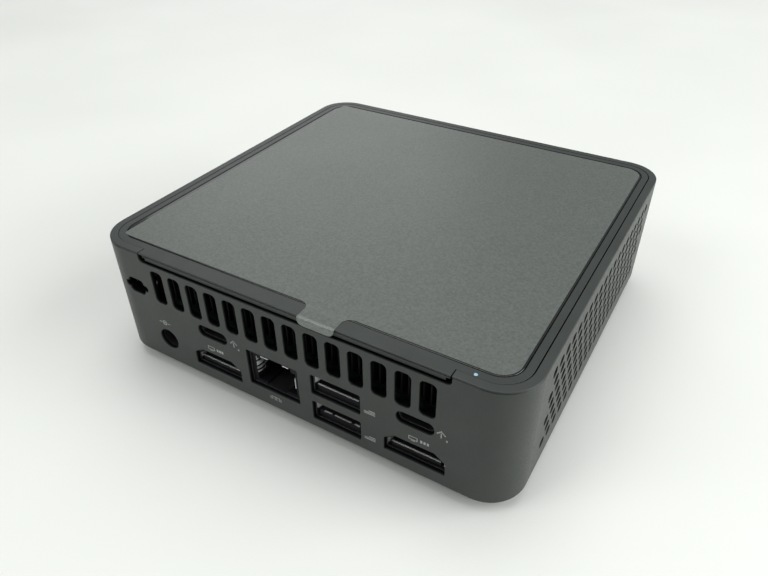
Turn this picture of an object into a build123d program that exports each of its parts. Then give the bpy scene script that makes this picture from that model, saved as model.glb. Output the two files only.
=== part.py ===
from build123d import *
import math
import os

os.makedirs("parts", exist_ok=True)

# Slim mini PC. Millimetres. The origin is the centre of the underside, on the desk.
# +Z is up, the front with the power button faces -Y and the rear ports face +Y.

# ---- Case ----
case_width = 117.0
case_depth = 112.0
case_height = 37.0
corner_radius = 9.5
wall = 2.0
wall_bottom = 3.0              # lower edge of the walls above the desk
wall_bottom_round = 0.8
rim_width = 2.1                # flat rim around the lid
rim_thickness = 0.5
rim_edge_round = 0.25
parting_bevel = 0.12           # eased edges where the rim meets the walls
parting_groove = 0.2           # open line under the rim along the rear
parting_depth = 0.7
rebate_wall = 1.1              # wall left outside the frame's web
seam = 0.1                     # fixed pieces that sit beside each other
gap = 0.3                      # bodies that move past each other
deck_thickness = 1.0

# ---- Lid, panel and film ----
lid_gap = 0.3
lid_rear_gap = 0.05
lid_thickness = 1.5
lid_frame_width = 2.0          # lid frame visible outside the glossy panel
panel_thickness = 0.7
panel_gap = 0.28
lip_half_width = 42.55
lip_thickness = 0.45
lip_edge_round = 0.2
recess_height = 2.2
recess_depth = 5.0
recess_corner = 1.2
recess_shelf = 0.9             # thickness of the recess floor behind the wall
gutter_inset = 0.4             # outer skin of the wall beside the recess gutter
gutter_width = 0.9
gutter_depth = 0.8
grip_inset = 0.6               # face of the grip bar behind the lip's edge
grip_width = 1.0
grip_drop = 0.75               # grip bar below the lid's underside
grip_groove = 0.7              # open line between the lip and the grip bar
status_x = -46.6
status_inset = 2.8
status_radius = 0.4
film_thickness = 0.1
film_edge = 0.35
tab_center = -10.8
tab_width = 10.0
tab_drop = 2.0

# ---- Side perforations ----
perforation_diameter = 2.8
perforation_pitch = 4.12
perforation_columns = 20
perforation_rows = 7
perforation_top_row = 5.25     # below the top of the case

# ---- Rear wall ----
vent_count = 14
vent_pitch = 5.84
vent_width = 3.96
vent_height = 9.82
vent_corner = 1.3
vent_pocket_depth = 0.9        # the wall is thinner round the vents
vent_pocket_margin = 0.18
lock_slot_x = 46.3
lock_slot_z = 25.7
port_clearance = 0.2

# ---- Mainboard ----
board_top = 23.0
board_thickness = 1.6
board_side_gap = 5.7
board_end_gap = 1.2
post_radius = 2.5
post_inset = 3.0
screw_hole_radius = 1.1

# ---- Ports: centre across the case and height above the desk ----
jack_x = 38.7
jack_z = 11.0
jack_opening = 6.2
jack_bore = 5.7
jack_pin = 2.0
stack_left_x = 21.85
stack_right_x = -35.2
usb_c_z = 19.55
usb_c_width = 8.94
usb_c_height = 3.2
video_z = 9.85
video_width = 15.0
video_height = 5.4
video_flat = 9.6
video_shoulder = 2.0
network_x = 3.6
network_z = 14.15
network_width = 15.0
network_height = 10.7
usb_a_x = -14.6
usb_a_upper_z = 17.5
usb_a_lower_z = 9.1
usb_a_width = 13.2
usb_a_height = 5.7
shell_metal = 0.3
port_setback = 1.0             # port shells stand this far inside the wall's face
port_depth = 13.0
usb_a_tongue_drop = 1.4        # the ports hang upside down, so each tongue lies in the lower half
usb_a_tongue_thickness = 1.8
usb_a_tongue_setback = 0.4
usb_c_depth = 8.0
usb_c_tongue_setback = 0.8
video_depth = 11.0
video_tongue_drop = 1.05
video_tongue_setback = 0.2
network_depth = 16.0
network_cavity_width = 11.9
network_cavity_height = 7.0
network_cavity_drop = 0.9
jack_body_depth = 13.0
jack_bore_depth = 9.5

# ---- Front ----
front_usb_x = (-34.0, -15.0)
front_usb_c_x = 2.0
button_x = 38.0
button_radius = 4.6
button_flange = 0.8
button_board_gap = 0.4         # button flange below the mainboard
button_ring_width = 1.2
button_proud = 0.4
button_travel = 0.8
activity_x = 27.0
activity_radius = 0.8

# ---- Cooling ----
fan_x = 0.0
fan_height = 8.2
fan_bottom_gap = 0.4
fan_plate = 0.8
fan_bowl_radius = 28.5
fan_wall = 1.5
impeller_radius = 26.0
impeller_hub_radius = 9.5
blade_count = 37
blade_thickness = 0.7
inlet_radius = 19.0
shaft_radius = 1.0
shaft_clearance = 0.05
fin_depth = 10.4
fin_count = 47
fin_thickness = 0.4
fin_height = 9.6
pipe_width = 7.0
pipe_thickness = 2.5
pipe_bend = 7.2
pipe_gap = 0.2
plate_thickness = 1.6
plate_arm_thickness = 0.8
plate_arm_radius = 3.0
screw_head_radius = 2.4
inductor_depth = 5.2
inductor_inset = 3.2
processor_height = 1.4

# ---- Memory, drive and card ----
module_length = 69.6
module_width = 30.0
module_board = 1.2
memory_x = 4.0
memory_bar = 5.0               # depth of each socket's slot bar
memory_seat = 0.6
memory_step = 5.6              # the lower socket stands this far in front of the upper one
memory_drop = (4.4, 9.4)       # module boards below the mainboard
drive_width = 22.0
drive_length = 80.0
drive_board = 0.8
drive_y = 13.5
drive_x = 2.0
drive_drop = 6.0
card_length = 30.0
card_drop = 2.4

# ---- Bottom cover ----
foot_height = 1.5
foot_radius = 5.0
foot_inset = 15.0
cover_plate = 1.4
cover_side_gap = 0.4
cover_corner = 10.0
hinge_x = 40.0
hinge_ear_width = 5.0
hinge_knuckle = 3.0
hinge_pin_radius = 1.0
hinge_from_wall = 2.2
hinge_above_cover = 1.7
latch_travel = 6.0
latch_width = 12.0
latch_depth = 7.0
latch_tongue = 8.0
catch_width = 6.0
catch_thickness = 0.8
insert_spacing = 60.0
insert_y = -14.0
insert_radius = 2.2
insert_hole = 1.25

# ---- Levels that follow from the sizes above ----
half_width = case_width / 2
half_depth = case_depth / 2
inner_x = half_width - wall
inner_y = half_depth - wall
wall_top = case_height - rim_thickness
lid_bottom = case_height - lid_thickness
deck_top = lid_bottom - gap
deck_bottom = deck_top - deck_thickness
board_bottom = board_top - board_thickness
board_rear = inner_y - board_end_gap
board_front = -inner_y + board_end_gap
board_half_width = inner_x - board_side_gap
cover_bottom = foot_height
cover_top = cover_bottom + cover_plate
fan_bottom = board_top + fan_bottom_gap
fan_top = fan_bottom + fan_height
fan_rear_y = inner_y - fin_depth - 1.3
fin_rear = inner_y - 0.8
fin_front = fin_rear - fin_depth
port_front = half_depth - port_setback
hinge_y = -inner_y + hinge_from_wall
hinge_z = cover_bottom + hinge_above_cover
post_x = board_half_width - post_inset
post_front = board_front + post_inset + 1.0
post_rear = board_rear - post_inset - 1.0
post_points = [(sx * post_x, y) for sx in (-1, 1) for y in (post_front, post_rear)]
button_z = board_bottom - button_board_gap - button_radius - button_flange
recess_floor = wall_top - recess_height

# ---- Cooling layout: the pipes set the lanes, and the fan takes the room between them ----
pipe_lane_x = post_x - post_radius - pipe_width / 2
fan_half_width = pipe_lane_x - pipe_width / 2 - 0.5
fin_half_width = pipe_lane_x - 0.8
plate_screw_y = pipe_width + 2 * pipe_gap + screw_head_radius
inductor_rear = board_front + inductor_inset + inductor_depth / 2
processor_y = inductor_rear + pipe_gap + plate_arm_radius + plate_screw_y
fan_front_y = processor_y + plate_screw_y + plate_arm_radius + 1.2
fan_y = fan_front_y + fan_bowl_radius + fan_wall

# ---- The memory starts behind the front ports ----
socket_front = -port_front + port_depth + port_setback + memory_bar / 2 + memory_step


def case_outline(inset, mode=Mode.ADD):
    """Sketch of the case's rounded outline, drawn in by inset, inside the open sketch."""
    RectangleRounded(case_width - 2 * inset, case_depth - 2 * inset, corner_radius - inset, mode=mode)


def rear_plane(y):
    """Plane at y that looks out of the rear wall towards -Y, so extrudes go into the case."""
    return Plane.XZ.offset(-y)


def video_outline(grow=0.0):
    """Outline of a video port, wide side down, with sloping shoulders towards the board."""
    half = video_width / 2 + grow
    flat = video_flat / 2 + grow * 0.6
    high = video_height / 2 + grow
    knee = high - video_shoulder
    Polygon(
        (-half, -high), (half, -high), (half, knee), (flat, high), (-flat, high), (-half, knee),
        align=None,
    )


def socket_shell(outline, inner_outline, y_front, depth, x, z, facing_rear=True):
    """Thin folded metal shell of a port, closed at the back."""
    sign = -1 if facing_rear else 1
    with BuildPart() as shell:
        with BuildSketch(Plane.XZ.offset(-y_front)):
            with Locations((x, z)):
                outline()
        extrude(amount=depth * -sign)
        with BuildSketch(Plane.XZ.offset(-y_front)):
            with Locations((x, z)):
                inner_outline()
        extrude(amount=(depth - shell_metal) * -sign, mode=Mode.SUBTRACT)
    return shell.part


def usb_a_outline():
    Rectangle(usb_a_width, usb_a_height)


def usb_a_inner():
    Rectangle(usb_a_width - 2 * shell_metal, usb_a_height - 2 * shell_metal)


def usb_c_outline():
    RectangleRounded(usb_c_width, usb_c_height, usb_c_height / 2 - 0.01)


def usb_c_inner():
    RectangleRounded(
        usb_c_width - 2 * shell_metal,
        usb_c_height - 2 * shell_metal,
        usb_c_height / 2 - shell_metal - 0.01,
    )


def screws(points, head_z, head_radius, head_height, shank_radius, shank_length, downward_head=True):
    """Cross-head screws at points. The head stands below head_z and the shank above it, or the reverse."""
    side = -1 if downward_head else 1
    with BuildPart() as group:
        with BuildSketch(Plane.XY.offset(head_z)):
            with Locations(*points):
                Circle(head_radius)
        extrude(amount=side * head_height)
        with BuildSketch(Plane.XY.offset(head_z)):
            with Locations(*points):
                Circle(shank_radius)
        extrude(amount=-side * shank_length)
        with BuildSketch(Plane.XY.offset(head_z + side * head_height)):
            with Locations(*points):
                Rectangle(head_radius * 1.1, head_radius * 0.3)
                Rectangle(head_radius * 0.3, head_radius * 1.1)
        extrude(amount=-side * head_height * 0.5, mode=Mode.SUBTRACT)
    return group.part


# ---- Chassis shell: four walls in one moulding ----
with BuildPart() as chassis_shell:
    with BuildSketch(Plane.XY.offset(wall_bottom)):
        case_outline(0)
    extrude(amount=wall_top - wall_bottom)
    fillet(chassis_shell.faces().sort_by(Axis.Z)[0].edges(), wall_bottom_round)
    chamfer(chassis_shell.faces().sort_by(Axis.Z)[-1].edges(), parting_bevel)
    with BuildSketch(Plane.XY.offset(wall_bottom)):
        case_outline(wall)
    extrude(amount=wall_top - wall_bottom, mode=Mode.SUBTRACT)
    # Rebate that takes the top frame's web.
    with BuildSketch(Plane.XY.offset(deck_bottom - seam)):
        case_outline(rebate_wall)
    extrude(amount=wall_top - deck_bottom + seam, mode=Mode.SUBTRACT)
    # Staggered round holes through both side walls.
    with BuildSketch(Plane.YZ):
        for row in range(perforation_rows):
            row_z = case_height - perforation_top_row - row * perforation_pitch * math.sin(math.radians(60))
            count = perforation_columns - row % 2
            with Locations((0, row_z)):
                with GridLocations(perforation_pitch, 1, count, 1):
                    Circle(perforation_diameter / 2)
    extrude(amount=case_width, both=True, mode=Mode.SUBTRACT)
    # Rear vents.
    with BuildSketch(rear_plane(half_depth + 1)):
        with Locations((0, board_top + vent_height / 2)):
            with GridLocations(vent_pitch, 1, vent_count, 1):
                RectangleRounded(vent_width, vent_height, vent_corner)
    extrude(amount=wall + 2, mode=Mode.SUBTRACT)
    with BuildSketch(rear_plane(inner_y + vent_pocket_depth)):
        with Locations((0, board_top + vent_height / 2)):
            Rectangle(vent_pitch * vent_count, vent_height + 2 * vent_pocket_margin)
    extrude(amount=vent_pocket_depth, mode=Mode.SUBTRACT)
    # Finger recess under the lid's lip, with a shelf behind it and a gutter in its floor.
    with BuildSketch(rear_plane(half_depth + 1)):
        with Locations((0, recess_floor + recess_height)):
            RectangleRounded(2 * lip_half_width + 0.9, 2 * recess_height, recess_corner)
    extrude(amount=wall + 2, mode=Mode.SUBTRACT)
    with BuildSketch(Plane.XY.offset(recess_floor)):
        with Locations((0, inner_y - (recess_depth - wall) / 2)):
            Rectangle(2 * lip_half_width + 0.4, recess_depth - wall)
    extrude(amount=-recess_shelf)
    with BuildSketch(Plane.XY.offset(recess_floor)):
        with Locations((0, half_depth - gutter_inset - gutter_width / 2)):
            Rectangle(2 * lip_half_width - 2 * recess_corner, gutter_width)
    extrude(amount=-gutter_depth, mode=Mode.SUBTRACT)
    # Port openings.
    with BuildSketch(rear_plane(half_depth + 1)):
        with Locations((jack_x, jack_z)):
            Circle(jack_opening / 2)
        with Locations((lock_slot_x, lock_slot_z)):
            RectangleRounded(5.4, 4.6, 1.3)
            RectangleRounded(7.9, 1.9, 0.8)
        with Locations((stack_left_x, usb_c_z), (stack_right_x, usb_c_z)):
            RectangleRounded(
                usb_c_width + 2 * port_clearance,
                usb_c_height + 2 * port_clearance,
                usb_c_height / 2,
            )
        for stack_x in (stack_left_x, stack_right_x):
            with Locations((stack_x, video_z)):
                video_outline(port_clearance)
        with Locations((network_x, network_z)):
            RectangleRounded(network_width + 2 * port_clearance, network_height + 2 * port_clearance, 0.4)
        with Locations((usb_a_x, usb_a_upper_z), (usb_a_x, usb_a_lower_z)):
            RectangleRounded(usb_a_width + 2 * port_clearance, usb_a_height + 2 * port_clearance, 0.5)
    extrude(amount=wall + 2, mode=Mode.SUBTRACT)
    # Front openings: USB, power button ring and activity light.
    with BuildSketch(Plane.XZ.offset(inner_y - 1)):
        for usb_x in front_usb_x:
            with Locations((usb_x, usb_a_upper_z)):
                RectangleRounded(usb_a_width + 2 * port_clearance, usb_a_height + 2 * port_clearance, 0.5)
        with Locations((front_usb_c_x, usb_c_z)):
            RectangleRounded(
                usb_c_width + 2 * port_clearance,
                usb_c_height + 2 * port_clearance,
                usb_c_height / 2,
            )
        with Locations((button_x, button_z)):
            Circle(button_radius + gap + button_ring_width)
        with Locations((activity_x, button_z)):
            Circle(activity_radius)
    extrude(amount=wall + 2, mode=Mode.SUBTRACT)
    # Hinge ears for the bottom cover, on the inside of the front wall.
    for ear_x in (-hinge_x, hinge_x):
        with BuildSketch(Plane.YZ.offset(ear_x - hinge_ear_width / 2)):
            with Locations((hinge_y, hinge_z)):
                Circle(1.75)
            with Locations(((hinge_y - inner_y) / 2, hinge_z + 1.4)):
                Rectangle(inner_y + hinge_y, 2.8)
            with Locations((hinge_y, hinge_z + 1.4)):
                Rectangle(3.5, 2.8)
        extrude(amount=hinge_ear_width)
        with BuildSketch(Plane.YZ.offset(ear_x - hinge_ear_width / 2 - 1)):
            with Locations((hinge_y, hinge_z)):
                Circle(hinge_pin_radius + shaft_clearance)
        extrude(amount=hinge_ear_width + 2, mode=Mode.SUBTRACT)
    # Catch that the cover latch slides over.
    with BuildSketch(Plane.XY.offset(cover_top + 0.4)):
        with Locations((-latch_tongue / 2 - 1.5 - catch_width / 2, inner_y - 1.2)):
            Rectangle(catch_width, 2.6)
    extrude(amount=catch_thickness)
chassis_shell.part.label = "chassis_shell"
export_step(chassis_shell.part, "parts/chassis_shell.step")

# ---- Top frame: rim around the lid, web inside the walls, deck and board posts ----
rim_opening = lip_half_width + 0.3
with BuildPart() as top_frame:
    with BuildSketch(Plane.XY.offset(wall_top)):
        case_outline(0)
    extrude(amount=rim_thickness)
    fillet(top_frame.faces().sort_by(Axis.Z)[-1].edges(), rim_edge_round)
    chamfer(top_frame.faces().sort_by(Axis.Z)[0].edges(), parting_bevel)
    # Open parting line under the rim along the rear and round both rear corners.
    with BuildSketch(Plane.XY.offset(wall_top)):
        case_outline(0)
        case_outline(parting_depth, mode=Mode.SUBTRACT)
        with Locations((0, -corner_radius / 2)):
            Rectangle(case_width, case_depth - corner_radius, mode=Mode.SUBTRACT)
    extrude(amount=parting_groove, mode=Mode.SUBTRACT)
    with BuildSketch(Plane.XY.offset(deck_bottom)):
        case_outline(rebate_wall + seam)
    extrude(amount=wall_top - deck_bottom)
    with BuildSketch(Plane.XY.offset(deck_top)):
        case_outline(rim_width)
    extrude(amount=case_height - deck_top, mode=Mode.SUBTRACT)
    # The rear is open between the two slits, for the lid's lip and the finger recess.
    with BuildSketch(Plane.XY.offset(deck_bottom)):
        with Locations((0, half_depth)):
            Rectangle(2 * rim_opening, 2 * recess_depth)
    extrude(amount=case_height - deck_bottom, mode=Mode.SUBTRACT)
    with BuildSketch(Plane.XY.offset(deck_bottom)):
        with Locations(*post_points):
            Circle(post_radius)
    extrude(amount=board_top - deck_bottom)
    with BuildSketch(Plane.XY.offset(board_top)):
        with Locations(*post_points):
            Circle(screw_hole_radius)
    extrude(amount=6.0, mode=Mode.SUBTRACT)
top_frame.part.label = "top_frame"
export_step(top_frame.part, "parts/top_frame.step")

# ---- Lid: framed cover with a lip and a grip bar over the finger recess ----
lid_inset = rim_width + lid_gap
lid_rear = half_depth - rim_width - lid_rear_gap
panel_inset = lid_inset + lid_frame_width
lip_root = 4.0
with BuildPart() as lid_frame:
    with BuildSketch(Plane.XY.offset(lid_bottom)):
        with Locations((0, (lid_gap - lid_rear_gap) / 2)):
            RectangleRounded(
                case_width - 2 * lid_inset,
                lid_rear + half_depth - lid_inset,
                corner_radius - lid_inset,
            )
    extrude(amount=lid_thickness)
    with BuildSketch(Plane.XY.offset(case_height)):
        with Locations((0, (lid_rear - lip_root + half_depth) / 2)):
            Rectangle(2 * lip_half_width, half_depth - lid_rear + lip_root)
    extrude(amount=-lip_thickness)
    # The edge of the lip follows the case's rear edge with a small round.
    fillet(lid_frame.edges().filter_by(Axis.X).sort_by(Axis.Y)[-2:], lip_edge_round)
    # Grip bar under the lip, parted from it by a narrow groove.
    grip_face = half_depth - grip_inset
    grip_top = case_height - lip_thickness - grip_groove
    with BuildSketch(Plane.XY.offset(lid_bottom)):
        with Locations((0, (lid_rear - lip_root + grip_face) / 2)):
            Rectangle(2 * lip_half_width - 2 * gap, grip_face - lid_rear + lip_root)
    extrude(amount=grip_top - lid_bottom)
    with BuildSketch(Plane.XY.offset(lid_bottom)):
        with Locations((0, grip_face - grip_width / 2)):
            Rectangle(2 * lip_half_width - 2 * recess_corner, grip_width)
    extrude(amount=-grip_drop)
    with BuildSketch(Plane.XY.offset(case_height)):
        case_outline(panel_inset - panel_gap)
    extrude(amount=-(panel_thickness + 0.05), mode=Mode.SUBTRACT)
    # Hole for the status light.
    with BuildSketch(Plane.XY.offset(case_height)):
        with Locations((status_x, half_depth - status_inset)):
            Circle(status_radius)
    extrude(amount=-lid_thickness, mode=Mode.SUBTRACT)
lid_frame.part.label = "lid_frame"
export_step(lid_frame.part, "parts/lid_frame.step")

with BuildPart() as status_light:
    with BuildSketch(Plane.XY.offset(case_height)):
        with Locations((status_x, half_depth - status_inset)):
            Circle(status_radius)
    extrude(amount=-lid_thickness)
status_light.part.label = "status_light"
export_step(status_light.part, "parts/status_light.step")

with BuildPart() as gloss_panel:
    with BuildSketch(Plane.XY.offset(case_height - panel_thickness - 0.05)):
        case_outline(panel_inset)
    extrude(amount=panel_thickness)
    fillet(gloss_panel.faces().sort_by(Axis.Z)[-1].edges(), 0.2)
gloss_panel.part.label = "gloss_panel"
export_step(gloss_panel.part, "parts/gloss_panel.step")

# ---- Protective film with its pull tab over the rear edge ----
film_bottom = case_height - 0.05
film_inset = panel_inset + film_edge
tab_front = half_depth - panel_inset - 1.0
tab_face = half_depth + gap
with BuildPart() as protective_film:
    with BuildSketch(Plane.XY.offset(film_bottom)):
        case_outline(film_inset)
    extrude(amount=film_thickness)
    with BuildSketch(Plane.XY.offset(case_height)):
        with Locations((tab_center, (tab_front + tab_face) / 2)):
            Rectangle(tab_width, tab_face - tab_front)
    extrude(amount=film_thickness)
    with BuildSketch(rear_plane(tab_face + film_thickness)):
        with Locations((tab_center, case_height + film_thickness - (tab_drop + film_thickness) / 2)):
            Rectangle(tab_width, tab_drop + film_thickness)
    extrude(amount=film_thickness)
protective_film.part.label = "protective_film"
export_step(protective_film.part, "parts/protective_film.step")

# ---- Mainboard ----
with BuildPart() as mainboard:
    with BuildSketch(Plane.XY.offset(board_bottom)):
        with Locations((0, (board_front + board_rear) / 2)):
            Rectangle(2 * board_half_width, board_rear - board_front)
        with Locations(*post_points):
            Circle(screw_hole_radius + 0.4, mode=Mode.SUBTRACT)
    extrude(amount=board_thickness)
mainboard.part.label = "mainboard"
export_step(mainboard.part, "parts/mainboard.step")

board_screws = screws(post_points, board_bottom, screw_head_radius, 1.3, screw_hole_radius - 0.05, 6.0)
board_screws.label = "board_screws"
export_step(board_screws, "parts/board_screws.step")

# ---- Processor, cold plate and heat pipes ----
with BuildPart() as processor:
    with BuildSketch(Plane.XY.offset(board_top)):
        with Locations((0, processor_y)):
            Rectangle(46.0, 24.0)
    extrude(amount=processor_height * 0.6)
    with BuildSketch(Plane.XY.offset(board_top + processor_height * 0.6)):
        with Locations((-8, processor_y), (11, processor_y)):
            Rectangle(15.0, 14.0)
    extrude(amount=processor_height * 0.4)
processor.part.label = "processor"
export_step(processor.part, "parts/processor.step")

plate_bottom = board_top + processor_height
plate_top = plate_bottom + plate_thickness
plate_screw_points = [(sx * 30.0, processor_y + sy * plate_screw_y) for sx in (-1, 1) for sy in (-1, 1)]
with BuildPart() as cold_plate:
    with BuildSketch(Plane.XY.offset(plate_bottom)):
        with Locations((0, processor_y)):
            RectangleRounded(44.0, 24.0, 1.5)
    extrude(amount=plate_thickness)
    # Sprung arms out to the four screws.
    with BuildSketch(Plane.XY.offset(plate_bottom)):
        with Locations(*[(x * 0.85, y) for x, y in plate_screw_points]):
            Rectangle(18.0, 4.4)
        with Locations(*plate_screw_points):
            Circle(plate_arm_radius)
        with Locations(*plate_screw_points):
            Circle(1.4, mode=Mode.SUBTRACT)
    extrude(amount=plate_arm_thickness)
cold_plate.part.label = "cold_plate"
export_step(cold_plate.part, "parts/cold_plate.step")

plate_arm_top = plate_bottom + plate_arm_thickness
plate_screws = screws(plate_screw_points, plate_arm_top, screw_head_radius, 1.2, 1.2, plate_arm_top - board_top,
                      downward_head=False)
plate_screws.label = "plate_screws"
export_step(plate_screws, "parts/plate_screws.step")

pipe_z = plate_top + pipe_thickness / 2
pipe_rear_y = fin_front + pipe_width / 2 + 0.1


def heat_pipe(side, start_y):
    """Flattened pipe from the cold plate along one side lane and back in along the fins."""
    lane = side * pipe_lane_x
    with BuildPart() as pipe:
        with BuildLine() as route:
            FilletPolyline(
                (side * -14.0, start_y, pipe_z),
                (lane, start_y, pipe_z),
                (lane, pipe_rear_y, pipe_z),
                (side * 5.0, pipe_rear_y, pipe_z),
                radius=pipe_bend,
            )
        with BuildSketch(Plane(origin=route.line @ 0, x_dir=(0, 1, 0), z_dir=route.line % 0)):
            RectangleRounded(pipe_width, pipe_thickness, pipe_thickness / 2 - 0.01)
        sweep()
    return pipe.part


heat_pipes = Compound(
    children=[
        heat_pipe(-1, processor_y - pipe_width / 2 - pipe_gap),
        heat_pipe(1, processor_y + pipe_width / 2 + pipe_gap),
    ]
)
heat_pipes.label = "heat_pipes"
export_step(heat_pipes, "parts/heat_pipes.step")

# ---- Fin stack behind the rear vents ----
with BuildPart() as fin_stack:
    fin_pitch = 2 * fin_half_width / (fin_count - 1)
    with BuildSketch(Plane.XY.offset(fan_bottom)):
        with Locations((0, fin_front + fin_depth / 2)):
            with GridLocations(fin_pitch, 1, fin_count, 1):
                Rectangle(fin_thickness, fin_depth)
    extrude(amount=fin_height)
    with BuildSketch(Plane.XY.offset(fan_bottom)):
        with Locations((0, fin_front + fin_depth / 2)):
            Rectangle(2 * fin_half_width, fin_depth)
    extrude(amount=0.4)
    with BuildSketch(Plane.XY.offset(fan_bottom + fin_height - 0.4)):
        with Locations((0, fin_front + fin_depth / 2)):
            Rectangle(2 * fin_half_width, fin_depth)
    extrude(amount=0.4)
    # Notch that the two heat pipes are soldered into.
    with BuildSketch(Plane.XY.offset(plate_top - 0.05)):
        with Locations((0, fin_front + pipe_width / 2)):
            Rectangle(4 * fin_half_width, pipe_width + 0.4)
    extrude(amount=pipe_thickness + 0.1, mode=Mode.SUBTRACT)
fin_stack.part.label = "fin_stack"
export_step(fin_stack.part, "parts/fin_stack.step")

# ---- Blower: housing, cover, stator, bearing, impeller and shaft ----
fan_mid_y = (fan_front_y + fan_rear_y) / 2
fan_screw_points = [(sx * (fan_half_width - 4.0), fan_front_y + 4.0) for sx in (-1, 1)]
with BuildPart() as fan_housing:
    with BuildSketch(Plane.XY.offset(fan_bottom)):
        with Locations((0, fan_mid_y)):
            RectangleRounded(2 * fan_half_width, fan_rear_y - fan_front_y, 3.0)
    extrude(amount=fan_height - fan_plate)
    with BuildSketch(Plane.XY.offset(fan_bottom + fan_plate)):
        with Locations((fan_x, fan_y)):
            Circle(fan_bowl_radius)
        with Locations((fan_x, (fan_y + fan_rear_y) / 2 + 1)):
            Rectangle(2 * fan_bowl_radius, fan_rear_y - fan_y + 2)
    extrude(amount=fan_height, mode=Mode.SUBTRACT)
    with BuildSketch(Plane.XY.offset(fan_bottom + fan_plate)):
        with Locations(*fan_screw_points):
            Circle(0.9)
    extrude(amount=fan_height, mode=Mode.SUBTRACT)
fan_housing.part.label = "fan_housing"
export_step(fan_housing.part, "parts/fan_housing.step")

with BuildPart() as fan_cover:
    with BuildSketch(Plane.XY.offset(fan_top - fan_plate)):
        with Locations((0, fan_mid_y)):
            RectangleRounded(2 * fan_half_width, fan_rear_y - fan_front_y, 3.0)
        with Locations((fan_x, fan_y)):
            Circle(inlet_radius, mode=Mode.SUBTRACT)
        with Locations(*fan_screw_points):
            Circle(1.1, mode=Mode.SUBTRACT)
    extrude(amount=fan_plate)
fan_cover.part.label = "fan_cover"
export_step(fan_cover.part, "parts/fan_cover.step")

fan_screws = screws(fan_screw_points, fan_top, 1.9, 0.9, 0.85, 4.0, downward_head=False)
fan_screws.label = "fan_screws"
export_step(fan_screws, "parts/fan_screws.step")

stator_bottom = fan_bottom + fan_plate
stator_height = 3.6
with BuildPart() as fan_stator:
    with BuildSketch(Plane.XY.offset(stator_bottom)):
        with Locations((fan_x, fan_y)):
            Circle(impeller_hub_radius - 2.2)
            Circle(2.2, mode=Mode.SUBTRACT)
        with Locations((fan_x, fan_y)):
            with PolarLocations(impeller_hub_radius - 2.2, 6):
                Rectangle(2.6, 1.1, mode=Mode.SUBTRACT)
    extrude(amount=stator_height)
fan_stator.part.label = "fan_stator"
export_step(fan_stator.part, "parts/fan_stator.step")

with BuildPart() as fan_bearing:
    with BuildSketch(Plane.XY.offset(stator_bottom)):
        with Locations((fan_x, fan_y)):
            Circle(2.2)
            Circle(shaft_radius + shaft_clearance, mode=Mode.SUBTRACT)
    extrude(amount=stator_height)
fan_bearing.part.label = "fan_bearing"
export_step(fan_bearing.part, "parts/fan_bearing.step")

hub_bottom = stator_bottom + 0.5
hub_top = fan_top - fan_plate - 0.4
blade_bottom = stator_bottom + 0.8
with BuildSketch() as blade_profile:
    with BuildLine():
        blade_inner = ThreePointArc((impeller_hub_radius - 0.3, 0), (18.0, 3.4), (impeller_radius - 0.3, 9.6))
        blade_outer = ThreePointArc(
            (impeller_hub_radius - 0.3, blade_thickness),
            (18.0, 3.4 + blade_thickness),
            (impeller_radius - 0.7, 9.6 + blade_thickness),
        )
        Line(blade_inner @ 0, blade_outer @ 0)
        Line(blade_inner @ 1, blade_outer @ 1)
    make_face()
with BuildPart() as fan_impeller:
    with BuildSketch(Plane.XY.offset(hub_bottom)):
        with Locations((fan_x, fan_y)):
            Circle(impeller_hub_radius)
    extrude(amount=hub_top - hub_bottom)
    with BuildSketch(Plane.XY.offset(hub_bottom)):
        with Locations((fan_x, fan_y)):
            Circle(impeller_hub_radius - 1.2)
    extrude(amount=stator_bottom + stator_height + 0.5 - hub_bottom, mode=Mode.SUBTRACT)
    # Swept-back blades, carried by a thin ring near the floor of the bowl.
    with BuildSketch(Plane.XY.offset(blade_bottom)):
        with Locations((fan_x, fan_y)):
            with PolarLocations(0, blade_count):
                add(blade_profile.sketch)
            Circle(impeller_radius, mode=Mode.INTERSECT)
    extrude(amount=hub_top - blade_bottom)
    with BuildSketch(Plane.XY.offset(blade_bottom)):
        with Locations((fan_x, fan_y)):
            Circle(impeller_radius - 3)
            Circle(impeller_radius - 5.5, mode=Mode.SUBTRACT)
    extrude(amount=0.6)
    with BuildSketch(Plane.XY.offset(hub_bottom)):
        with Locations((fan_x, fan_y)):
            Circle(shaft_radius)
    extrude(amount=hub_top - hub_bottom, mode=Mode.SUBTRACT)
fan_impeller.part.label = "fan_impeller"
export_step(fan_impeller.part, "parts/fan_impeller.step")

with BuildPart() as fan_shaft:
    with BuildSketch(Plane.XY.offset(stator_bottom + 0.3)):
        with Locations((fan_x, fan_y)):
            Circle(shaft_radius)
    extrude(amount=hub_top - stator_bottom - 0.3)
fan_shaft.part.label = "fan_shaft"
export_step(fan_shaft.part, "parts/fan_shaft.step")

# ---- Parts on the board: coin cell, inductors, capacitors, chips ----
with BuildPart() as coin_cell:
    with BuildSketch(Plane.XY.offset(board_bottom)):
        with Locations((-board_half_width + 8.8, board_rear - 19.8)):
            Circle(8.0)
    extrude(amount=-2.2)
    fillet(coin_cell.faces().sort_by(Axis.Z)[0].edges(), 0.4)
coin_cell.part.label = "coin_cell"
export_step(coin_cell.part, "parts/coin_cell.step")

inductor_points = [(x, board_front + inductor_inset) for x in (-32.0, -24.5, 24.5, 32.0)]
with BuildPart() as inductors:
    with BuildSketch(Plane.XY.offset(board_top)):
        with Locations(*inductor_points):
            Rectangle(6.5, inductor_depth)
    extrude(amount=1.0)
    with BuildSketch(Plane.XY.offset(board_top + 1.0)):
        with Locations(*inductor_points):
            RectangleRounded(6.0, inductor_depth - 0.4, 0.6)
    extrude(amount=2.0)
inductors.part.label = "inductors"
export_step(inductors.part, "parts/inductors.step")

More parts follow.
